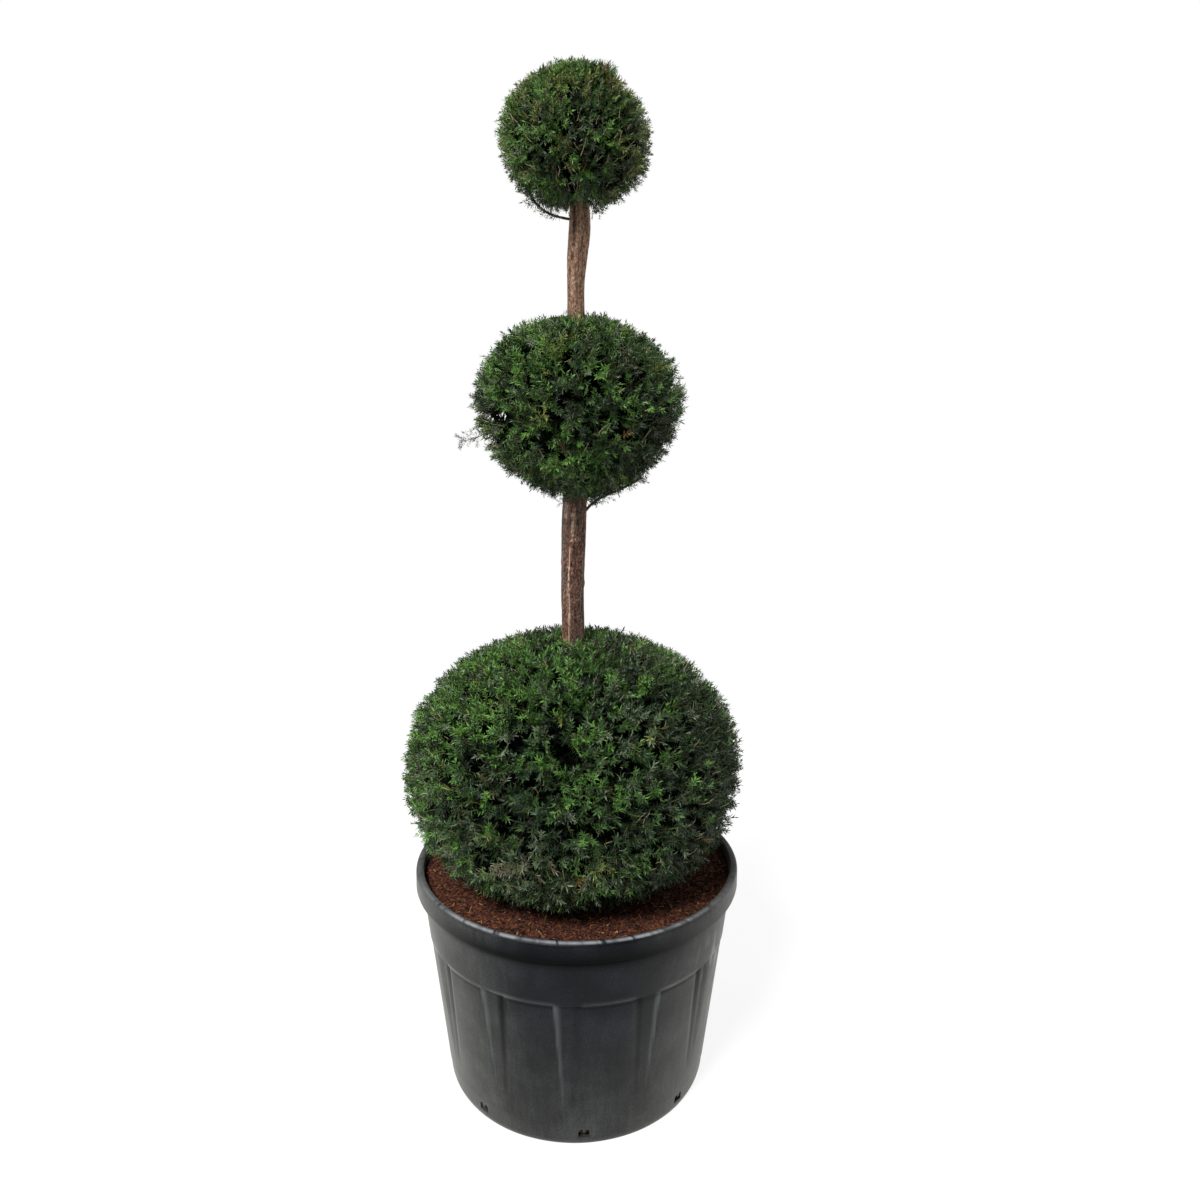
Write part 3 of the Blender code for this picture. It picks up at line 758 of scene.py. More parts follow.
def drainCutter(angle):
    # an arched hole through the foot of the wall, with a tongue that hangs from its top
    half, tall = pot["drainWidth"] / 2, pot["drainTall"] / 2
    right = [(1, -1), (1, 0.3), (0.8, 0.85), (0.5, 1), (0.26, 1), (0.2, 0.1)]
    outline = [(-1, -1)] + right + [(-across, up) for across, up in right[:0:-1]]
    middle = wallRadius(pot["drainMiddle"])
    alongWall = Vector((math.cos(angle), math.sin(angle), 0))
    shape = bmesh.new()
    rings = [[shape.verts.new(facing(angle, middle + reach, pot["drainMiddle"] + up * tall)
                              + alongWall * (across * half)) for across, up in outline]
             for reach in (pot["drainReach"], -pot["drainReach"])]
    shape.faces.new(rings[0])
    shape.faces.new(rings[1][::-1])
    for index in range(len(outline)):
        after = (index + 1) % len(outline)
        shape.faces.new((rings[0][after], rings[0][index], rings[1][index], rings[1][after]))
    bmesh.ops.recalc_face_normals(shape, faces=shape.faces)
    bmesh.ops.triangulate(shape, faces=shape.faces)
    mesh = bpy.data.meshes.new("drain")
    shape.to_mesh(mesh)
    shape.free()
    return mesh


def ringFaces(rows, steps, flipped=False):
    # faces between rings of points, where a ring may be one point in the middle
    faces = []
    for first, second in zip(rows, rows[1:]):
        for step in range(steps):
            after = (step + 1) % steps
            corners = [first[step], first[after], second[after], second[step]]
            if flipped:
                corners[1:] = corners[:0:-1]
            faces.append(tuple(dict.fromkeys(corners)))
    return faces


def faceOutwards(mesh):
    shape = bmesh.new()
    shape.from_mesh(mesh)
    bmesh.ops.recalc_face_normals(shape, faces=shape.faces)
    if shape.calc_volume(signed=True) < 0:
        bmesh.ops.reverse_faces(shape, faces=shape.faces)
    shape.to_mesh(mesh)
    shape.free()


def makeShell():
    inside, profile = potProfile()
    steps = pot["steps"]
    verts, rows, paintedShadeMarks, highlightAndScuffMarks = [], [], [], []
    for index, (radius, height) in enumerate(profile):
        if radius == 0:
            rows.append([len(verts)] * steps)
            verts.append(Vector((0, 0, height)))
            paintedShadeMarks.append(0.0)
            highlightAndScuffMarks.append(0.0)
            continue
        rows.append(range(len(verts), len(verts) + steps))
        for step in range(steps):
            angle = math.tau * step / steps
            deep, wave, shadeHighlightAndScuffs = 0.0, 0.0, (0.0, 0.0)
            if index > len(inside):
                deep = channelDepth(angle, height)
                wave = pot["wave"] * noise.noise(facing(angle, 2.2, height * 5))
            if index >= len(inside):
                shadeHighlightAndScuffs = paintedLightAndScuffsAt(angle, radius, height, deep)
            verts.append(facing(angle, radius - deep - abs(wave), height))
            # the points carry the painted shade, and the painted highlight together with real scuffs
            paintedShadeMarks.append(shadeHighlightAndScuffs[0])
            highlightAndScuffMarks.append(shadeHighlightAndScuffs[1])
    mesh = meshWith("potShell", verts, [], ringFaces(rows, steps), {
        "paintedShadeMarks": ("FLOAT", paintedShadeMarks), "highlightAndScuffMarks": ("FLOAT", highlightAndScuffMarks)})
    faceOutwards(mesh)
    return mesh


def makePot():
    shell = intoScene("potShell", makeShell())
    cutters = bpy.data.collections.new("drains")
    for index in range(pot["drainCount"]):
        angle = math.radians(pot["drainCentre"]) + index * math.tau / pot["drainCount"]
        cutters.objects.link(bpy.data.objects.new("drain", drainCutter(angle)))
    hole = shell.modifiers.new("drains", "BOOLEAN")
    hole.operation = "DIFFERENCE"
    hole.operand_type = "COLLECTION"
    hole.collection = cutters
    hole.solver = "EXACT"
    made = evaluatedMesh(shell)
    bpy.data.objects.remove(shell)
    removeShapes(cutters)
    made.name = "potShell"
    made.shade_smooth()
    made.set_sharp_from_angle(angle=math.radians(pot["sharpFrom"]))
    return made


def removeShapes(shapes):
    for shape in list(shapes.objects):
        bpy.data.objects.remove(shape)
    bpy.data.collections.remove(shapes)


def makePotMaterial():
    # Moulded polypropylene, black-grey and weathered: a waxy sheen under a chalky film, drawn down in streaks
    # by rain, that grows towards the foot; towards the left and right sides the film is a painted reflection.
    # Its dust catches light at a flat angle, as a sheen.
    material = newMaterial("weatheredPolypropylene", 0.42, 1.49, Sheen_Weight=0.31,
                           Sheen_Roughness=0.35, Sheen_Tint=linear("#d8dad2"))
    tree = material.node_tree
    place = objectPlace(tree)
    axes = addNode(tree, "ShaderNodeSeparateXYZ", {"Vector": place})
    # streaks 4 to 12 mm wide, clouds about 90 mm, grit about 2 mm
    streaks = noiseOn(tree, drawnOut(tree, place, 0.05), 84, 7, Roughness=0.72)
    clouds = noiseOn(tree, place, 11, 4, Roughness=0.6)
    grit = noiseOn(tree, place, 420, 2)
    mottle = mixNumbers(tree, 0.5, clouds, grit)
    base = ramp(tree, mottle, (0.36, "#07080c"), (0.50, "#0f1116"), (0.64, "#1d1f27"))
    dustAndSheenColour = ramp(tree, mottle, (0.36, "#50524b"), (0.50, "#6a6c63"), (0.64, "#86867c"))
    sideways = maths(tree, "ABSOLUTE", axes.outputs["X"])
    # paler towards the left and right sides, a painted reflection, and paler towards the foot, in streaks
    dustAndPaintedSheen = maths(tree, "ADD", rescaled(tree, sideways, 0.10, 0.36, 0.0, 0.31),
                 rescaled(tree, axes.outputs["Z"], 0.36, 0.02, 0.0, 0.14))
    dustAndPaintedSheen = maths(tree, "MULTIPLY", dustAndPaintedSheen, rescaled(tree, streaks, 0.34, 0.66, 0.55, 1.45), use_clamp=True)
    paintedShade = ownValue(tree, "paintedShadeMarks")
    colour = mixColours(tree, dustAndPaintedSheen, base, dustAndSheenColour)
    # painted shade: darker, and less glossy, in the outward side of each channel, under the band and under
    # the lip
    colour = mixColours(tree, paintedShade, colour, linear("#08090a"))
    # painted highlight on the lip's top, the band's lower edge and the visible side of each channel, and real
    # scuffs at the rubs
    colour = mixColours(tree, ownValue(tree, "highlightAndScuffMarks"), colour, linear("#93969a"))
    dents = bumpFrom(tree, clouds, 0.25, 0.004)
    feedShader(tree, Base_Color=colour, Specular_IOR_Level=rescaled(tree, paintedShade, 0.0, 1.0, 0.12, 0.01),
               Roughness=rescaled(tree, streaks, 0.3, 0.7, 0.36, 0.56),
               Normal=bumpFrom(tree, grit, 0.2, 0.0006, Normal=dents))
    return material


potPiece = addPiece("potShell", makePot(), makePotMaterial(), ["pot"], smooth=False)
print("container made:", len(potPiece.data.polygons), "faces")


mulch = {
    "top": 0.494,
    "sag": (0.004, 0.09, 0.30),        # depth, and the radii where it begins and ends
    "flat": (0.066, 0.10),             # radii between which the lumps begin, clear of the trunk
    "lumps": 0.0034,
    "steps": 150,
    "rings": 74,
    "edgeGap": 0.0003,
    "seed": 7,
    "chips": 9500,
    "chipReach": 0.361,
    "chipLong": (0.004, 0.014),
    "chipThick": (0.0016, 0.0054),
    "chipFlat": (0.3, 0.8),            # height as a share of width
    "chipAbove": (-0.0003, 0.0014),
    "chipTilt": 0.32,
    "chipColours": {
        "darkBark": "#1d100c", "redBark": "#482519", "rustBark": "#6c3a25", "paleFibre": "#a5764b"},
    "chipShares": (0.40, 0.38, 0.17, 0.035),
    "chipShapes": ((3, 0.5, 0.2), (3, 0.45, 0.4), (4, 0.5, 0.3)),   # sides, blunt end, sharp end
    "straws": 34,
    "strawRing": (0.22, 0.352),
    "strawLong": (0.012, 0.034),
    "strawThick": (0.0011, 0.0009),
    "strawAbove": 0.0022,
    "strawTilt": 0.10,
}


def mulchHeight(x, y):
    flat = math.hypot(x, y)
    depth, begins, ends = mulch["sag"]
    lumps = mulch["lumps"] * (waves(x * 55, y * 55, 1) + 0.5 * waves(x * 150, y * 150, 4))
    return mulch["top"] - depth * smoothStep(begins, ends, flat) + lumps * smoothStep(*mulch["flat"], flat)


def onMulch(angle, radius):
    place = facing(angle, radius, 0)
    place.z = mulchHeight(place.x, place.y)
    return place


def makeMulchBody():
    # the filling: a lumpy top and plain sides that follow the inside of the container
    steps, gap = mulch["steps"], mulch["edgeGap"]
    edge = pot["mouthRadius"] - gap
    verts, rows = [Vector((0, 0, mulch["top"]))], [[0] * steps]
    rings = [(edge * (ring / mulch["rings"]), None) for ring in range(1, mulch["rings"] + 1)]
    rings += [(edge, pot["lipUnderside"]),
              (pot["panelTopRadius"] - pot["innerStep"] - 2 * gap, pot["shoulder"]),
              (pot["wallFootRadius"] - pot["wall"] - 2 * gap, pot["wallFoot"]),
              (pot["baseRadius"] - pot["wall"] - 2 * gap, pot["floorTop"] + gap)]
    for radius, height in rings:
        rows.append(range(len(verts), len(verts) + steps))
        for step in range(steps):
            angle = math.tau * step / steps
            verts.append(onMulch(angle, radius) if height is None else facing(angle, radius, height))
    faces = ringFaces(rows, steps, flipped=True)
    faces.append(tuple(reversed(rows[-1])))
    return meshWith("mulchBody", verts, [], faces)


def makeMulchMaterial():
    # Composted bark and coir: matt, fibrous and damp, dark red-brown with rusty fibres 5 to 7 mm long.
    material = newMaterial("compostedBark", 0.9, Specular_IOR_Level=0.25)
    tree = material.node_tree
    place = objectPlace(tree)
    crumbs = addNode(tree, "ShaderNodeTexVoronoi", {"Vector": place, "Scale": 170})
    mixedUp = mixNumbers(tree, 0.55, crumbs, noiseOn(tree, place, 260, 4, Distortion=1.5))
    colour = ramp(tree, mixedUp, (0.25, "#140a07"), (0.42, "#331b12"), (0.55, "#55301e"), (0.70, "#824d31"))
    feedShader(tree, Base_Color=colour, Normal=bumpFrom(tree, mixedUp, 0.9, 0.004))
    return material


def namedValue(tree, label, kind):
    return addNode(tree, "GeometryNodeInputNamedAttribute", {"Name": label}, data_type=kind)


def makeScatterTree():
    # puts the shapes of a collection on points, by each point's turn, size and variant
    tree, given = newGeometryTree("scatterShapes", {"Shapes": ("Collection", None), "Size": ("Float", 1.0)})
    turn, size = (namedValue(tree, label, "FLOAT_VECTOR") for label in ("turn", "size"))
    shapes = addNode(tree, "GeometryNodeCollectionInfo", {
        "Collection": given["Shapes"], "Separate Children": True, "Reset Children": True})
    placed = addNode(tree, "GeometryNodeInstanceOnPoints", {
        "Points": given["Geometry"], "Instance": shapes, "Pick Instance": True,
        "Instance Index": namedValue(tree, "variant", "INT"),
        "Rotation": addNode(tree, "FunctionNodeEulerToRotation", {"Euler": turn}),
        "Scale": addNode(tree, "ShaderNodeVectorMath", {0: size, "Scale": given["Size"]}, operation="SCALE")})
    return endTree(tree, placed, given)


def makeChipTree():
    # a splinter of bark one unit long: a bar that narrows
    tree, given = newGeometryTree("barkChip", {
        "Sides": ("Int", 3), "Blunt End": ("Float", 0.5), "Sharp End": ("Float", 0.2)})
    bar = addNode(tree, "GeometryNodeMeshCone", {
        "Vertices": given["Sides"], "Radius Top": given["Sharp End"], "Radius Bottom": given["Blunt End"],
        "Depth": 1.0})
    return endTree(tree, addNode(tree, "GeometryNodeTransform", {
        "Geometry": bar, "Translation": (-0.5, 0, 0), "Rotation": (0, math.radians(90), 0)}), given)


def shapesFrom(name, tree, kinds):
    # a collection outside the scene, with one shape for each set of values
    shapes = bpy.data.collections.new(name)
    for index, values in enumerate(kinds):
        shape = runGeometryTree(f"{name}{index:02d}", meshWith("seed", [(0, 0, 0)], [], []), tree, values)
        bpy.context.scene.collection.objects.unlink(shape)
        shapes.objects.link(shape)
    return shapes


def scattered(name, shapes, material, rows):
    # rows of (place, turn, size, variant) as one joined mesh
    places, turns, sizes, variants = zip(*rows)
    points = meshWith(name, [tuple(place) for place in places], [], [], {
        "turn": ("FLOAT_VECTOR", turns), "size": ("FLOAT_VECTOR", sizes), "variant": ("INT", variants)})
    return runGeometryTree(name, points, scatterTree, {"Shapes": shapes, "Size": 1.0, "Finish": material})


def layChips():
    draw = random.Random(mulch["seed"])
    rows = {kind: [] for kind in mulch["chipColours"]}
    for _ in range(mulch["chips"]):
        # more of them towards the edge, so that they lie evenly
        radius = mulch["chipReach"] * math.sqrt(draw.uniform(0.02, 1.0))
        place = onMulch(draw.uniform(0, math.tau), radius)
        place.z += draw.uniform(*mulch["chipAbove"])
        length, thick = draw.uniform(*mulch["chipLong"]), draw.uniform(*mulch["chipThick"])
        rows[draw.choices(list(rows), mulch["chipShares"])[0]].append((
            place, (draw.uniform(0, math.tau), draw.gauss(0, mulch["chipTilt"]), draw.uniform(0, math.tau)),
            (length, thick, thick * draw.uniform(*mulch["chipFlat"])),
            draw.randrange(len(mulch["chipShapes"]))))
    chips = shapesFrom("barkChip", makeChipTree(), [
        dict(zip(("Sides", "Blunt End", "Sharp End"), shape)) for shape in mulch["chipShapes"]])
    for kind, colour in mulch["chipColours"].items():
        # dry and damp splinters of the same bark: matt
        material = newMaterial(kind + "Splinters", 0.88, colour=colour, Specular_IOR_Level=0.3)
        finished(scattered(kind + "Splinters", chips, material, rows[kind]))
    straws = []
    for _ in range(mulch["straws"]):
        place = onMulch(draw.uniform(0, math.tau), draw.uniform(*mulch["strawRing"]))
        place.z += mulch["strawAbove"]
        straws.append((place, (0, draw.gauss(0, mulch["strawTilt"]), draw.uniform(0, math.tau)),
                       (draw.uniform(*mulch["strawLong"]), *mulch["strawThick"]), 0))
    # dry straw on the mulch: pale and nearly matt
    material = newMaterial("dryStraw", 0.7, colour="#b79f76")
    finished(scattered("dryStraws", chips, material, straws))
    removeShapes(chips)


scatterTree = makeScatterTree()
addPiece("mulchBody", makeMulchBody(), makeMulchMaterial(), ["soil"])
layChips()
print("mulch laid")


growth = {
    "seed": 41,
    "stemWay": (0.5, -0.3, 0.2),
    "stem": (0.45, 0.05, 0.05),       # end as a share of the ball, bend, thickness as a share
    # end as a share of the ball, bend, parts, thickness as a share, taper, distance kept from the trunk
    "wood": {"limbs": (0.45, 0.08, 5, 0.03, 0.6, None), "branches": (0.64, 0.12, 4, 0.014, 0.55, 0.004),
             "twigs": (0.76, 0.12, 3, 0.009, 0.6, 0.003)},
    "woodEnd": 0.6,
    "thickFrom": 0.0020,      # lines thicker than this are limbs, the others are stems
    "trunkTop": 2.28,
    "shootGap": 0.006,        # what shoots keep from the trunk and boughs
    "floorGap": 0.004,
    "tuftDepth": 0.044,       # how far under the outline a tuft's shoots part
    "tuftDepthVaries": (0.8, 1.2),
    "tuftHollow": 0.6,        # how far a tuft draws back in a hollow
    "tuftScatter": 0.42,
    "tuftGap": 0.003,
    "tuftTwig": (0.14, 0.0019, 0.7),   # bend, thickness, taper
    "shootStem": (0.75, 0.0010, 0.5),  # length as a share of the shoot, thickness, taper
    "rise": 0.35,             # how far shoots turn up towards the light, and how soon that ends below
    "riseEnds": 1.6,
    "sway": 0.30,
    "fan": 0.936,             # how far the shoots of one tuft spread
    "fanStart": 0.4,
    "fanTurn": 2.4,           # radians from one shoot of a tuft to the next
    "tips": (0.965, 1.03),    # how near the outline shoots end
    "shootSizes": (0.78, 1.15),
    "ownKind": 0.55,          # share of a tuft's shoots that have the tuft's own colour
    "deeperHalf": 0.6,        # share of shoots with one half a tone deeper
    "lumpRate": 7.0,
    "strayShare": 0.012,      # shoots that have grown past the clipping
    "strayReach": 0.03,
    # old shoots inside, and large ones under them, their near-black colour a painted shade: depths, sizes,
    # distance kept from a gap
    "innerShoots": ((0.030, 0.088), (0.8, 1.1), 0.0),
    "coreShoots": ((0.110, 0.180), (1.9, 2.5), 0.05),
    "corePart": 4,            # one large shoot to so many small ones
    "innerHollow": 0.9,
    "innerLean": 0.3,
    "sprigLean": (0.7, 0.2),  # forwards and up
    "sprigSizes": (0.45, 0.8),
    "sprigKinds": ("mid", "deep", "deep", "dull"),
    "boughBare": 0.22,
    "strawScatter": 0.12,
    "strawDepth": (0.94, 0.985),
    "strawReach": (1.0, 1.025),
    "strawLean": (0.9, 0.8, 0.6),      # outwards, up and any way
    "strawLength": (0.016, 0.042),
    "strawTwig": (0.12, 0.0008, 0.5),
    "strawHollow": 0.02,      # hollows deeper than this have no straws
    "light": (2.3, 0.25),     # patches of fresher needles: how often, and how many more on top, where more fresh and fewer deep needles partly paint light from above
    "lightOn": {"fresh": (2.5, 0.1), "deep": (-2.0, 0.2)},   # what a patch adds to a kind, and the least
    "olive": (4, 3.0, 0.1),   # the same for patches of olive: how often, gain and least
    "tintFades": 0.5,
    "tintAdds": 0.4,
}

# Each ball: "lumps" is how uneven clipping left the outline, and no clipped shoot passes "farthest" of it.
# A sprig is a leafy side twig that stands clear: points, thickness, shoots. A hollow is turn from the
# front, rise, half width in degrees and depth as a share of the ball, and below 0 it is a bulge. A tint is
# turn, rise, half width, kind of needles and strength; besides the needles' own colours, some tints paint
# light and some paint shade, as noted on each ball.
balls = {
    "foliage_bottom": {
        "piece": "bottomBall",
        "centre": (-0.0114, 0.0, 0.7616),
        "radius": 0.3974,
        "up": 0.3008,
        "down": 0.2977,
        "powers": (2.06, 2.43),
        "floor": 0.4945,
        "limbs": 12,
        "branches": 110,
        "twigs": 260,
        "sprigs": (),
        "tufts": 1060,
        "shootsEach": 9,
        "shootScale": 1.0,
        "inner": 3600,
        "straws": 420,
        "lumps": 0.030,
        "farthest": 1.03,
        "kinds": {"shade": 2.0, "deep": 1.6, "mid": 1.0, "dull": 0.9, "fresh": 0.75, "olive": 0.45},
        "hollows": (
            (-34, 21, 5, 0.05), (-21, 2, 7, 0.075), (-28, -13, 7, 0.065), (34, 16, 4, 0.03),
            (14, -34, 8, 0.03), (-60, -18, 6, 0.04), (120, 20, 7, 0.06), (-140, 5, 8, 0.06),
        ),
        # deep tints on the right side and at the hollow at -24 degrees paint shade; fresh tints on the upper
        # left partly paint light
        "tintsAndPaintedLight": (
            (-70, 36, 34, "fresh", 0.45), (-62, 0, 26, "fresh", 0.9), (-10, 50, 30, "mid", 0.6),
            (0, 55, 34, "fresh", 0.5), (33, 22, 30, "dull", 0.8), (60, 20, 34, "deep", 0.9),
            (70, -8, 26, "deep", 1.3), (-25, -15, 13, "dead", 1.3), (-24, -8, 12, "deep", 2.2),
            (50, -5, 34, "deep", 1.2), (8, -36, 30, "dull", 1.1), (5, 8, 20, "mid", 0.8),
        ),
    },
    "foliage_middle": {
        "piece": "middleBall",
        "centre": (-0.0010, 0.0, 1.5959),
        "radius": 0.2413,
        "up": 0.2031,
        "down": 0.2118,
        "powers": (1.99, 1.90),
        "floor": 0.0,
        "limbs": 9,
        "branches": 60,
        "twigs": 120,
        "sprigs": (
            (((-0.200, -0.030, 1.533), (-0.234, -0.030, 1.518), (-0.268, -0.030, 1.510)), 0.0012, 16),
            (((0.012, -0.028, 1.394), (0.025, -0.034, 1.387), (0.038, -0.040, 1.386)), 0.0012, 9),
            (((-0.012, -0.030, 1.395), (-0.023, -0.037, 1.380), (-0.034, -0.044, 1.372)), 0.0012, 9),
            (((0.100, -0.022, 1.418), (0.118, -0.041, 1.425), (0.135, -0.060, 1.440)), 0.0014, 10),
            (((0.060, -0.014, 1.392), (0.075, -0.032, 1.404), (0.090, -0.050, 1.425)), 0.0014, 10),
            (((-0.008, -0.030, 1.410), (-0.017, -0.150, 1.456), (-0.027, -0.176, 1.490),
              (-0.046, -0.190, 1.522)), 0.0050, 0),
        ),
        "tufts": 480,
        "shootsEach": 9,
        "shootScale": 0.92,
        "inner": 1700,
        "straws": 170,
        "lumps": 0.075,
        "farthest": 1.08,
        "kinds": {"deep": 1.0},
        "hollows": (
            (0, -86, 24, -0.075), (-60, 42, 20, -0.035), (-75, -26, 14, -0.03), (8, -6, 8, 0.08),
            (-9, -27, 6, 0.17), (-43, -8, 7, 0.12), (30, 5, 6, 0.06), (60, 12, 6, 0.07), (150, 10, 9, 0.08),
        ),
        # the deep tints at the hollow in front and on the right paint shade; the fresh and mid tints
        # underneath paint light, those on the upper left partly
        "tintsAndPaintedLight": (
            (-42, 22, 30, "fresh", 1.2), (-16, 32, 13, "olive", 1.8), (8, -9, 16, "deep", 2.0),
            (45, 23, 26, "mid", 0.8), (62, -14, 30, "deep", 2.2), (-60, -14, 18, "fresh", 0.8),
            (0, -50, 34, "mid", 1.2), (4, -42, 30, "fresh", 0.5), (-30, -38, 24, "fresh", 0.7),
        ),
    },
    "foliage_top": {
        "piece": "topBall",
        "centre": (-0.0132, 0.0, 2.1892),
        "radius": 0.1688,
        "up": 0.1485,
        "down": 0.1621,
        "powers": (1.78, 2.22),
        "floor": 0.0,
        "limbs": 7,
        "branches": 36,
        "twigs": 70,
        "sprigs": (
            (((0.018, -0.024, 2.045), (0.033, -0.030, 2.026), (0.048, -0.036, 2.012)), 0.0012, 8),
            (((-0.014, -0.026, 2.050), (-0.022, -0.035, 2.034), (-0.030, -0.044, 2.022)), 0.0012, 6),
        ),
        "tufts": 285,
        "shootsEach": 9,
        "shootScale": 0.84,
        "inner": 1100,
        "straws": 420,
        "lumps": 0.050,
        "farthest": 1.06,
        "kinds": {"shade": 0.6, "deep": 0.45, "mid": 1.3, "dull": 1.0, "olive": 3.2, "fresh": 1.2},
        "hollows": (
            (76, -32, 24, -0.085), (50, -66, 20, -0.11), (-70, 32, 18, -0.03), (50, 50, 14, -0.06),
            (8, 5, 9, 0.10), (-30, -35, 6, 0.08), (40, -12, 6, 0.07),
        ),
        # the fresh tint underneath paints light and the deep one at the lower right paints shade; the fresh
        # tint on top partly paints light
        "tintsAndPaintedLight": (
            (-62, 30, 34, "olive", 2.0), (0, 35, 26, "olive", 1.0), (22, 10, 6, "rust", 5.0),
            (62, 38, 16, "bronze", 2.2), (-57, -21, 22, "fresh", 0.9), (68, -40, 40, "deep", 1.2),
            (0, -45, 40, "fresh", 1.0), (-20, -10, 40, "dull", 0.45), (0, 62, 40, "fresh", 2.9),
            (-30, 50, 26, "olive", 1.8), (-78, 5, 24, "fresh", 1.0), (70, 0, 30, "olive", 0.7),
        ),
    },
}
gaps = (                       # where the sky shows through from front to back: x, height, radius
    (-0.167, 1.560, 0.0128), (-0.184, 1.572, 0.0085), (-0.198, 1.510, 0.009), (0.196, 1.500, 0.008),
    (-0.128, 2.110, 0.006),
)

needleKinds = {                # base colour, share where nothing else says, and the kind a tone deeper
    "shade": ("#131e12", 0.03, "shade"),
    "deep": ("#223a1d", 0.30, "shade"),
    "mid": ("#41652d", 0.27, "deep"),
    "dull": ("#66765a", 0.15, "deep"),
    "fresh": ("#6a9a45", 0.15, "mid"),
    "olive": ("#8c9750", 0.07, "mid"),
    "bronze": ("#80603a", 0.008, "mid"),
    "rust": ("#b8742f", 0.0, "bronze"),
    "dead": ("#6f6853", 0.008, "dull"),
}

shootShape = {
    "variants": 8,
    "length": 0.043,          # from the shoot's root to its last needle's tip
    "stemShare": 0.80,        # how much of that its stem takes
    "needles": 20,
    "needleLength": 0.0140,
    "needleWidth": 0.0027,    # widest, so that a pointed needle has a real one's area
    "openBase": 74,           # degrees between needle and stem, at the root and at the tip
    "openTip": 36,
    "flatness": (1.0, 0.55, 0.8, 0.45),
    "bends": (0.05, 0.22, -0.10, 0.15),
    "spiral": 2.4,            # radians from one needle to the next
    "droop": -0.14,
    "oldVariants": 2,
    "oldNeedles": {
        "Needles": 14, "Needle Length": 0.028, "Needle Width": 0.012, "Flatness": 0.7, "Bend": 0.1},
    "oldSeed": 200,
}


def level(ball, point):
    # 0 in the ball's middle and 1 on its outline
    offset = point - Vector(ball["centre"])
    tall, power = (ball["up"], ball["powers"][0]) if offset.z > 0 else (ball["down"], ball["powers"][1])
    flat = math.hypot(offset.x, offset.y) / ball["radius"]
    return (flat**power + (abs(offset.z) / tall) ** power) ** (1 / power)


def reach(ball, direction):
    # how far the ball goes from its middle in a direction, stopping at its floor
    far = 1 / level(ball, Vector(ball["centre"]) + direction)
    if direction.z < 0:
        far = min(far, (ball["centre"][2] - ball["floor"]) / -direction.z)
    return far


def spread(count, turn=0.0):
    # directions spaced evenly all round
    golden = math.pi * (3 - math.sqrt(5))
    for index in range(count):
        z = 1 - (2 * index + 1) / count
        flat = math.sqrt(1 - z * z)
        yield Vector((flat * math.cos(index * golden + turn), flat * math.sin(index * golden + turn), z))


def outlineAlong(ball, root, axis, goal):
    # the point from a root along an axis where the ball's level is the goal
    low, high = 0.0, 2 * ball["radius"]
    for _ in range(14):
        middle = (low + high) / 2
        if level(ball, root + axis * middle) < goal:
            low = middle
        else:
            high = middle
    return root + axis * low


boughPoints = [(Vector(place), bough["radii"][0]) for bough in boughs.values()
               for place in smoothed(bough["points"], 6)]


def touchesLimb(point, margin):
    middle, radius = trunkAt(point.z)
    if math.hypot(point.x - middle.x, point.y - middle.y) < radius + margin and point.z < growth["trunkTop"]:
        return True
    return any((point - place).length < thick + margin for place, thick in boughPoints)


def inGap(point, margin=0.0):
    return any(math.hypot(point.x - x, point.z - height) < radius + margin for x, height, radius in gaps)


def blocked(points, margin=0.0):
    return any(touchesLimb(point, growth["shootGap"]) or inGap(point, margin) for point in points)


def nearness(direction, turn, rise, width):
    turn, rise = math.radians(turn), math.radians(rise)
    way = Vector((math.cos(rise) * math.sin(turn), -math.cos(rise) * math.cos(turn), math.sin(rise)))
    return peak(math.degrees(direction.angle(way)), width)


def hollowAt(ball, direction):
    return sum(depth * nearness(direction, turn, rise, width) for turn, rise, width, depth in ball["hollows"])


def kindWeights(name, ball, direction):
    weights = {kind: share * ball["kinds"].get(kind, 1) for kind, (_, share, _) in needleKinds.items()}
    rate, fromAbove = growth["light"]
    light = noise.noise(direction * rate + Vector((3, 1, len(name)))) + fromAbove * direction.z
    for kind, (gain, least) in growth["lightOn"].items():
        weights[kind] *= max(least, 1 + gain * light)
    rate, gain, least = growth["olive"]
    weights["olive"] *= max(least, 1 + gain * noise.noise(direction * rate + Vector((7, 2, 5))))
    for turn, rise, width, kind, strength in ball["tintsAndPaintedLight"]:
        near = nearness(direction, turn, rise, width)
        for other in weights:
            weights[other] *= 1 - growth["tintFades"] * near
        weights[kind] += growth["tintAdds"] * strength * near
    return weights


def pickKind(draw, weights):
    return draw.choices(list(weights), list(weights.values()))[0]


def anyWay(draw):
    return Vector([draw.uniform(-1, 1) for _ in range(3)])


def nudged(draw, direction, by, share=1.0):
    return (direction + Vector([draw.gauss(0, by) for _ in range(3)]) * share).normalized()


def bentLine(start, end, draw, bend, parts=3):
    # a slightly bent way from one point to another
    side = anyWay(draw) * (end - start).length * bend
    return [start.lerp(end, step / parts) + side * math.sin(math.pi * step / parts)
            for step in range(parts + 1)]


def nearestOf(places):
    tree = KDTree(len(places))
    for index, place in enumerate(places):
        tree.insert(place, index)
    tree.balance()
    return lambda point: places[tree.find(point)[1]]


def fanned(axis, turn, index):
    # a direction square to the axis, turned on from shoot to shoot
    return Matrix.Rotation(turn + index * growth["fanTurn"], 3, axis) @ axis.orthogonal().normalized()


def shootTurn(axis, roll):
    return tuple((axis.to_track_quat("X", "Z") @ Quaternion((1, 0, 0), roll)).to_euler())


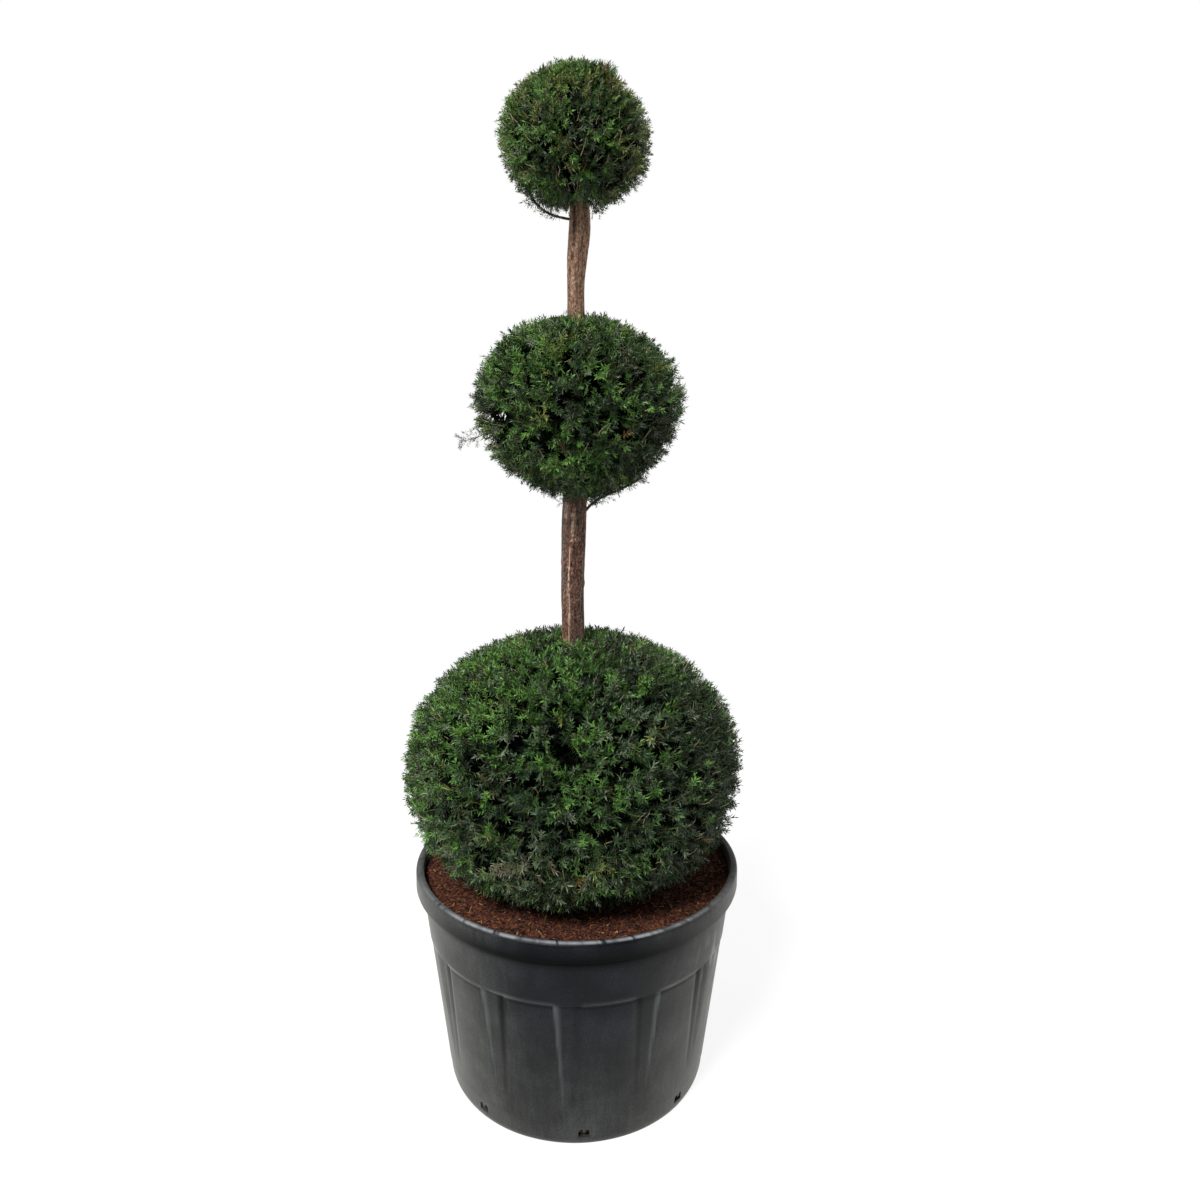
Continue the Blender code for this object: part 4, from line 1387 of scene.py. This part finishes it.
def addShoot(shoots, kind, root, axis, size, draw):
    # a shoot in two halves that mesh: one of its own colour, the other often a tone deeper
    turn = shootTurn(axis, draw.uniform(0, math.tau))
    variant = draw.randrange(shootShape["variants"])
    other = needleKinds[kind][2] if draw.random() < growth["deeperHalf"] else kind
    shoots[kind].append((root, turn, (size,) * 3, variant))
    shoots[other].append((root, turn, (size,) * 3, variant + shootShape["variants"]))


def growWood(ball, draw, lines):
    # a stem, then limbs, branches and twigs, each from the nearest end of the ones before
    centre, radius = Vector(ball["centre"]), ball["radius"]
    share, bend, thick = growth["stem"]
    ends = [centre + Vector(growth["stemWay"]).normalized() * radius * share]
    lines.append((bentLine(centre, ends[0], draw, bend), radius * thick, growth["woodEnd"]))
    for wood, (share, bend, parts, thick, taper, clear) in growth["wood"].items():
        nearest = nearestOf(ends)
        ends = []
        for direction in spread(ball[wood], draw.uniform(0, math.tau)):
            end = centre + direction * reach(ball, direction) * share
            if clear and touchesLimb(end, clear):
                continue
            lines.append((bentLine(nearest(end), end, draw, bend, parts), radius * thick, taper))
            ends.append(end)
    return nearestOf(ends)


def growTufts(name, ball, draw, fromTwig, lines, shoots):
    # each tuft is a fine twig with shoots that fan out from its end to the clipped outline
    centre, scale, rate = Vector(ball["centre"]), ball["shootScale"], growth["lumpRate"]
    bend, thick, taper = growth["tuftTwig"]
    stemShare, stemThick, stemTaper = growth["shootStem"]
    lowest = ball["floor"] + growth["floorGap"]
    for direction in spread(ball["tufts"], draw.uniform(0, math.tau)):
        direction = nudged(draw, direction, growth["tuftScatter"], 2 / math.sqrt(ball["tufts"]))
        hollow = hollowAt(ball, direction)
        far = reach(ball, direction)
        depth = growth["tuftDepth"] * scale * draw.uniform(*growth["tuftDepthVaries"])
        twigEnd = centre + direction * (far - (depth + growth["tuftHollow"] * hollow * far))
        if touchesLimb(twigEnd, growth["tuftGap"]) or inGap(twigEnd):
            continue
        lines.append((bentLine(fromTwig(twigEnd), twigEnd, draw, bend), thick, taper))
        weights = kindWeights(name, ball, direction)
        tuftKind = pickKind(draw, weights)
        lump = ball["lumps"] * (noise.noise(direction * rate + centre)
                                + 0.6 * noise.noise(direction * rate * 2.1 - centre)) - hollow
        tuftAxis = direction + Vector((0, 0, growth["rise"] * clamped(1 + growth["riseEnds"] * direction.z)))
        turn = draw.uniform(0, math.tau)
        count = ball["shootsEach"] + draw.choice((-1, 0, 0, 1))
        for index in range(count):
            out = growth["fan"] * math.sqrt((index + growth["fanStart"]) / count)
            sway = anyWay(draw) * growth["sway"]
            axis = (tuftAxis + fanned(direction, turn, index) * out + sway).normalized()
            goal = draw.uniform(*growth["tips"]) + lump
            if draw.random() < growth["strayShare"]:
                goal += draw.uniform(0, growth["strayReach"])
            tip = outlineAlong(ball, twigEnd, axis, min(goal, ball["farthest"] + max(0.0, -hollow)))
            size = scale * draw.uniform(*growth["shootSizes"])
            root = tip - axis * shootShape["length"] * size
            if min(tip.z, root.z) < lowest or blocked((tip, (tip + root) / 2, root)):
                continue
            kind = tuftKind if draw.random() < growth["ownKind"] else pickKind(draw, weights)
            addShoot(shoots, kind, root, axis, size, draw)
            # the finest twig runs on as the shoot's stem
            lines.append(([root, root.lerp(tip, stemShare)], stemThick, stemTaper))


def growSprigs(name, ball, draw, lines, shoots):
    # leafy side twigs, and the shoots along a bough, which has a bare foot
    sprigs = [(smoothed(points, 4), thick, count, 0) for points, thick, count in ball["sprigs"]]
    sprigs += [(smoothed(bough["points"], 6), 0, bough["shoots"], growth["boughBare"])
               for bough in boughs.values() if bough["ball"] == name]
    forwards, up = growth["sprigLean"]
    for places, thick, count, bare in sprigs:
        points = [Vector(place) for place in places]
        if thick:
            lines.append((points, thick, growth["woodEnd"]))
        along = (points[-1] - points[0]).normalized()
        for index in range(count):
            share = (bare + (1 - bare) * (index + 0.5) / count) * (len(points) - 1)
            place = points[int(share)].lerp(points[min(int(share) + 1, len(points) - 1)], share % 1)
            axis = (along * forwards + fanned(along, 0, index) + Vector((0, 0, up))).normalized()
            size = draw.uniform(*growth["sprigSizes"])
            addShoot(shoots, draw.choice(growth["sprigKinds"]), place, axis, size, draw)


def growStraws(ball, draw):
    # bare dry twigs among the shoots, as pale as straw
    centre, lowest = Vector(ball["centre"]), ball["floor"] + growth["floorGap"]
    outwards, up, anywhere = growth["strawLean"]
    bend, thick, taper = growth["strawTwig"]
    straws = []
    for direction in spread(ball["straws"], draw.uniform(0, math.tau)):
        direction = nudged(draw, direction, growth["strawScatter"])
        root = centre + direction * reach(ball, direction) * draw.uniform(*growth["strawDepth"])
        fan = Vector((direction.x, direction.y, 0)) * outwards + Vector((0, 0, up))
        axis = (fan + anyWay(draw) * anywhere).normalized()
        tip = outlineAlong(ball, root, axis, draw.uniform(*growth["strawReach"]))
        longest = draw.uniform(*growth["strawLength"])
        if (tip - root).length > longest:
            tip = root + axis * longest
        clear = not any(touchesLimb(end, growth["shootGap"]) for end in (root, tip))
        if clear and min(tip.z, root.z) > lowest and hollowAt(ball, direction) < growth["strawHollow"]:
            straws.append((bentLine(root, tip, draw, bend), thick, taper))
    return straws


def growInside(ball, draw):
    # old shoots behind the outer ones, and large ones behind those, so that no ball is hollow; their
    # near-black colour is painted shade
    centre, scale = Vector(ball["centre"]), ball["shootScale"]
    core = [(direction, *growth["coreShoots"]) for direction in spread(ball["inner"] // growth["corePart"])]
    under = [(direction, *growth["innerShoots"])
             for direction in spread(ball["inner"], draw.uniform(0, math.tau))]
    inner = []
    for direction, depths, sizes, margin in core + under:
        hollow = growth["innerHollow"] * max(0.0, hollowAt(ball, direction))
        far = reach(ball, direction) * (1 - hollow) - draw.uniform(*depths) * scale
        place = centre + direction * far
        size = scale * draw.uniform(*sizes)
        axis = (direction * growth["innerLean"] + anyWay(draw)).normalized()
        end = place + axis * shootShape["length"] * size
        tooFar = level(ball, end) > 1 - depths[0] * scale / ball["radius"] - hollow
        tooLow = end.z < ball["floor"] + growth["floorGap"] + margin
        if not (tooFar or tooLow or blocked((place, end, (place + end) / 2), margin)):
            inner.append((place, shootTurn(axis, draw.uniform(0, math.tau)), (size,) * 3,
                          draw.randrange(shootShape["oldVariants"])))
    return inner


def growBall(name, ball):
    # by the same rule as the solids, carried to finer twigs
    draw = random.Random(f"{growth['seed']} {name}")
    lines, shoots = [], {kind: [] for kind in needleKinds}
    fromTwig = growWood(ball, draw, lines)
    growTufts(name, ball, draw, fromTwig, lines, shoots)
    growSprigs(name, ball, draw, lines, shoots)
    straws = growStraws(ball, draw)
    return lines, straws, shoots, growInside(ball, draw)


def makeShootTree():
    # a shoot along +X: needles on a spiral round its stem, closing towards the tip
    tree, given = newGeometryTree("yewShoot", {
        "Needles": ("Int", 34), "Stem Length": ("Float", 0.045), "Needle Length": ("Float", 0.018),
        "Needle Width": ("Float", 0.003), "Open Base": ("Float", 1.1), "Open Tip": ("Float", 0.4),
        "Flatness": ("Float", 1.0), "Bend": ("Float", 0.1), "Turn Step": ("Float", 2.4),
        "Turn Start": ("Float", 0.0), "Seed": ("Int", 0)})

    def times(first, second):
        return maths(tree, "MULTIPLY", first, second)

    def plus(first, second):
        return maths(tree, "ADD", first, second)

    def joined(**axes):
        return addNode(tree, "ShaderNodeCombineXYZ", axes)

    def picked(offset, low, high):
        return addNode(tree, "FunctionNodeRandomValue", {
            "Min": low, "Max": high, "Seed": plus(given["Seed"], offset)}, data_type="FLOAT")

    index = addNode(tree, "GeometryNodeInputIndex")
    share = maths(tree, "DIVIDE", index, given["Needles"])
    bow = times(times(share, share), times(given["Bend"], given["Stem Length"]))
    spots = addNode(tree, "GeometryNodeSetPosition", {
        "Geometry": addNode(tree, "GeometryNodeMeshLine", {"Count": given["Needles"], "Offset": (0, 0, 0)}),
        "Position": joined(X=times(share, given["Stem Length"]), Z=bow)})
    spiral = plus(times(index, given["Turn Step"]), plus(given["Turn Start"], picked(1, -0.5, 0.5)))
    tilt = plus(rescaled(tree, share, 0.0, 1.0, given["Open Base"], given["Open Tip"]), picked(2, -0.2, 0.2))
    wide = maths(tree, "SINE", tilt)
    pointing = joined(X=maths(tree, "COSINE", tilt), Y=times(wide, maths(tree, "COSINE", spiral)),
                      Z=times(given["Flatness"], times(wide, maths(tree, "SINE", spiral))))
    turned = addNode(tree, "FunctionNodeAxesToRotation", {
        "Primary Axis": pointing, "Secondary Axis": (1, 0, 0.6)}, primary_axis="X", secondary_axis="Z")
    long = times(given["Needle Length"], picked(3, 0.72, 1.12))
    size = joined(X=long, Y=times(given["Needle Width"], picked(4, 0.85, 1.15)), Z=long)
    # a needle is a pointed blade of four sides that droops towards its tip
    blade = addNode(tree, "GeometryNodeTransform", {
        "Geometry": addNode(tree, "GeometryNodeMeshCircle", {"Vertices": 4, "Radius": 0.5}, fill_type="NGON"),
        "Translation": (0.5, 0, 0)})
    place = addNode(tree, "ShaderNodeSeparateXYZ", {"Vector": addNode(tree, "GeometryNodeInputPosition")})
    droop = times(maths(tree, "POWER", place.outputs["X"], 2.0), shootShape["droop"])
    needle = addNode(tree, "GeometryNodeSetPosition", {"Geometry": blade, "Offset": joined(Z=droop)})
    return endTree(tree, addNode(tree, "GeometryNodeInstanceOnPoints", {
        "Points": spots, "Instance": needle, "Rotation": turned, "Scale": size}), given)


def makeLimbTree():
    # round limbs along lines, as thick as each point's own thickness
    tree, given = newGeometryTree("limbsOnLines", {"Sides": ("Int", 3), "Thickness": ("Float", 1.0)})
    return endTree(tree, addNode(tree, "GeometryNodeCurveToMesh", {
        "Curve": addNode(tree, "GeometryNodeMeshToCurve", {"Mesh": given["Geometry"]}),
        "Profile Curve": addNode(tree, "GeometryNodeCurvePrimitiveCircle", {
            "Resolution": given["Sides"], "Radius": 1.0}),
        "Scale": maths(tree, "MULTIPLY", namedValue(tree, "thickness", "FLOAT"), given["Thickness"]),
        "Fill Caps": True}), given)


def limbsAlong(name, lines, sides, material):
    # one joined mesh of limbs: each line is its points, its thickness and how much of that its tip keeps
    verts, edges, thickness = [], [], []
    for points, thick, keep in lines:
        first, last = len(verts), len(points) - 1
        verts.extend(tuple(point) for point in points)
        edges.extend((first + step, first + step + 1) for step in range(last))
        thickness.extend(thick * (1 + (keep - 1) * step / last) for step in range(last + 1))
    mesh = meshWith(name, verts, edges, [], {"thickness": ("FLOAT", thickness)})
    made = runGeometryTree(name, mesh, limbTree, {"Sides": sides, "Thickness": 1.0, "Finish": material})
    made.data.shade_smooth()
    return made


def shapeShoots():
    # the collections of growing shoots, each in two halves, and of old ones
    shape, tree = shootShape, makeShootTree()
    common = {"Stem Length": shape["length"], "Needle Length": shape["needleLength"],
              "Needle Width": shape["needleWidth"], "Open Base": math.radians(shape["openBase"]),
              "Open Tip": math.radians(shape["openTip"])}
    young = [{**common, "Needles": shape["needles"] // 2, "Stem Length": shape["length"] * shape["stemShare"],
              "Flatness": shape["flatness"][index % 4], "Bend": shape["bends"][index % 4],
              "Turn Step": 2 * shape["spiral"], "Turn Start": shape["spiral"] * half,
              "Seed": 10 * index + 1 + half} for half in range(2) for index in range(shape["variants"])]
    old = [{**common, **shape["oldNeedles"], "Seed": shape["oldSeed"] + index}
           for index in range(shape["oldVariants"])]
    return shapesFrom("yewShoot", tree, young), shapesFrom("oldShoot", tree, old)


def makeBalls():
    shoots, oldShoots = shapeShoots()
    # Yew needles: a thin leathery skin with a soft waxy gloss, each half shoot of one plain colour
    finishes = {kind: newMaterial(kind + "YewNeedles", 0.42, 1.45, colour, Specular_IOR_Level=0.5)
                for kind, (colour, _, _) in needleKinds.items()}
    # needles inside the balls, matt and near-black: painted shade deep in each ball
    paintedShadeFinish = newMaterial("paintedShadeYewNeedles", 0.85, colour="#111a10", Specular_IOR_Level=0.1)
    # old wood inside the balls, grey-brown and matt, and young stems, green turning brown and satin
    oldWood = newMaterial("shadedYewWood", 0.8, colour="#432c25", Specular_IOR_Level=0.3)
    youngWood = newMaterial("youngYewStems", 0.6, colour="#6a6a3c")
    # dry bare twigs, pale and matt
    dryWood = newMaterial("dryYewTwigs", 0.8, colour="#aea27f", Specular_IOR_Level=0.3)
    for name, ball in balls.items():
        lines, straws, rows, inner = growBall(name, ball)
        thick = [line for line in lines if line[1] > growth["thickFrom"]]
        fine = [line for line in lines if line[1] <= growth["thickFrom"]]
        piece = ball["piece"]
        finished(limbsAlong(piece + "Limbs", thick, 6, oldWood), [name])
        finished(limbsAlong(piece + "Stems", fine, 3, youngWood), [name])
        finished(limbsAlong(piece + "DryTwigs", straws, 3, dryWood), [name])
        finished(scattered(piece + "InnerNeedles", oldShoots, paintedShadeFinish, inner), [name])
        for kind, kindRows in rows.items():
            if kindRows:
                title = piece + kind.capitalize() + "Needles"
                finished(scattered(title, shoots, finishes[kind], kindRows), [name])
        print(name, sum(map(len, rows.values())), "shoots,", len(inner), "inside,", len(lines), "twigs")
    removeShapes(shoots)
    removeShapes(oldShoots)


limbTree = makeLimbTree()
makeBalls()
print("balls grown")
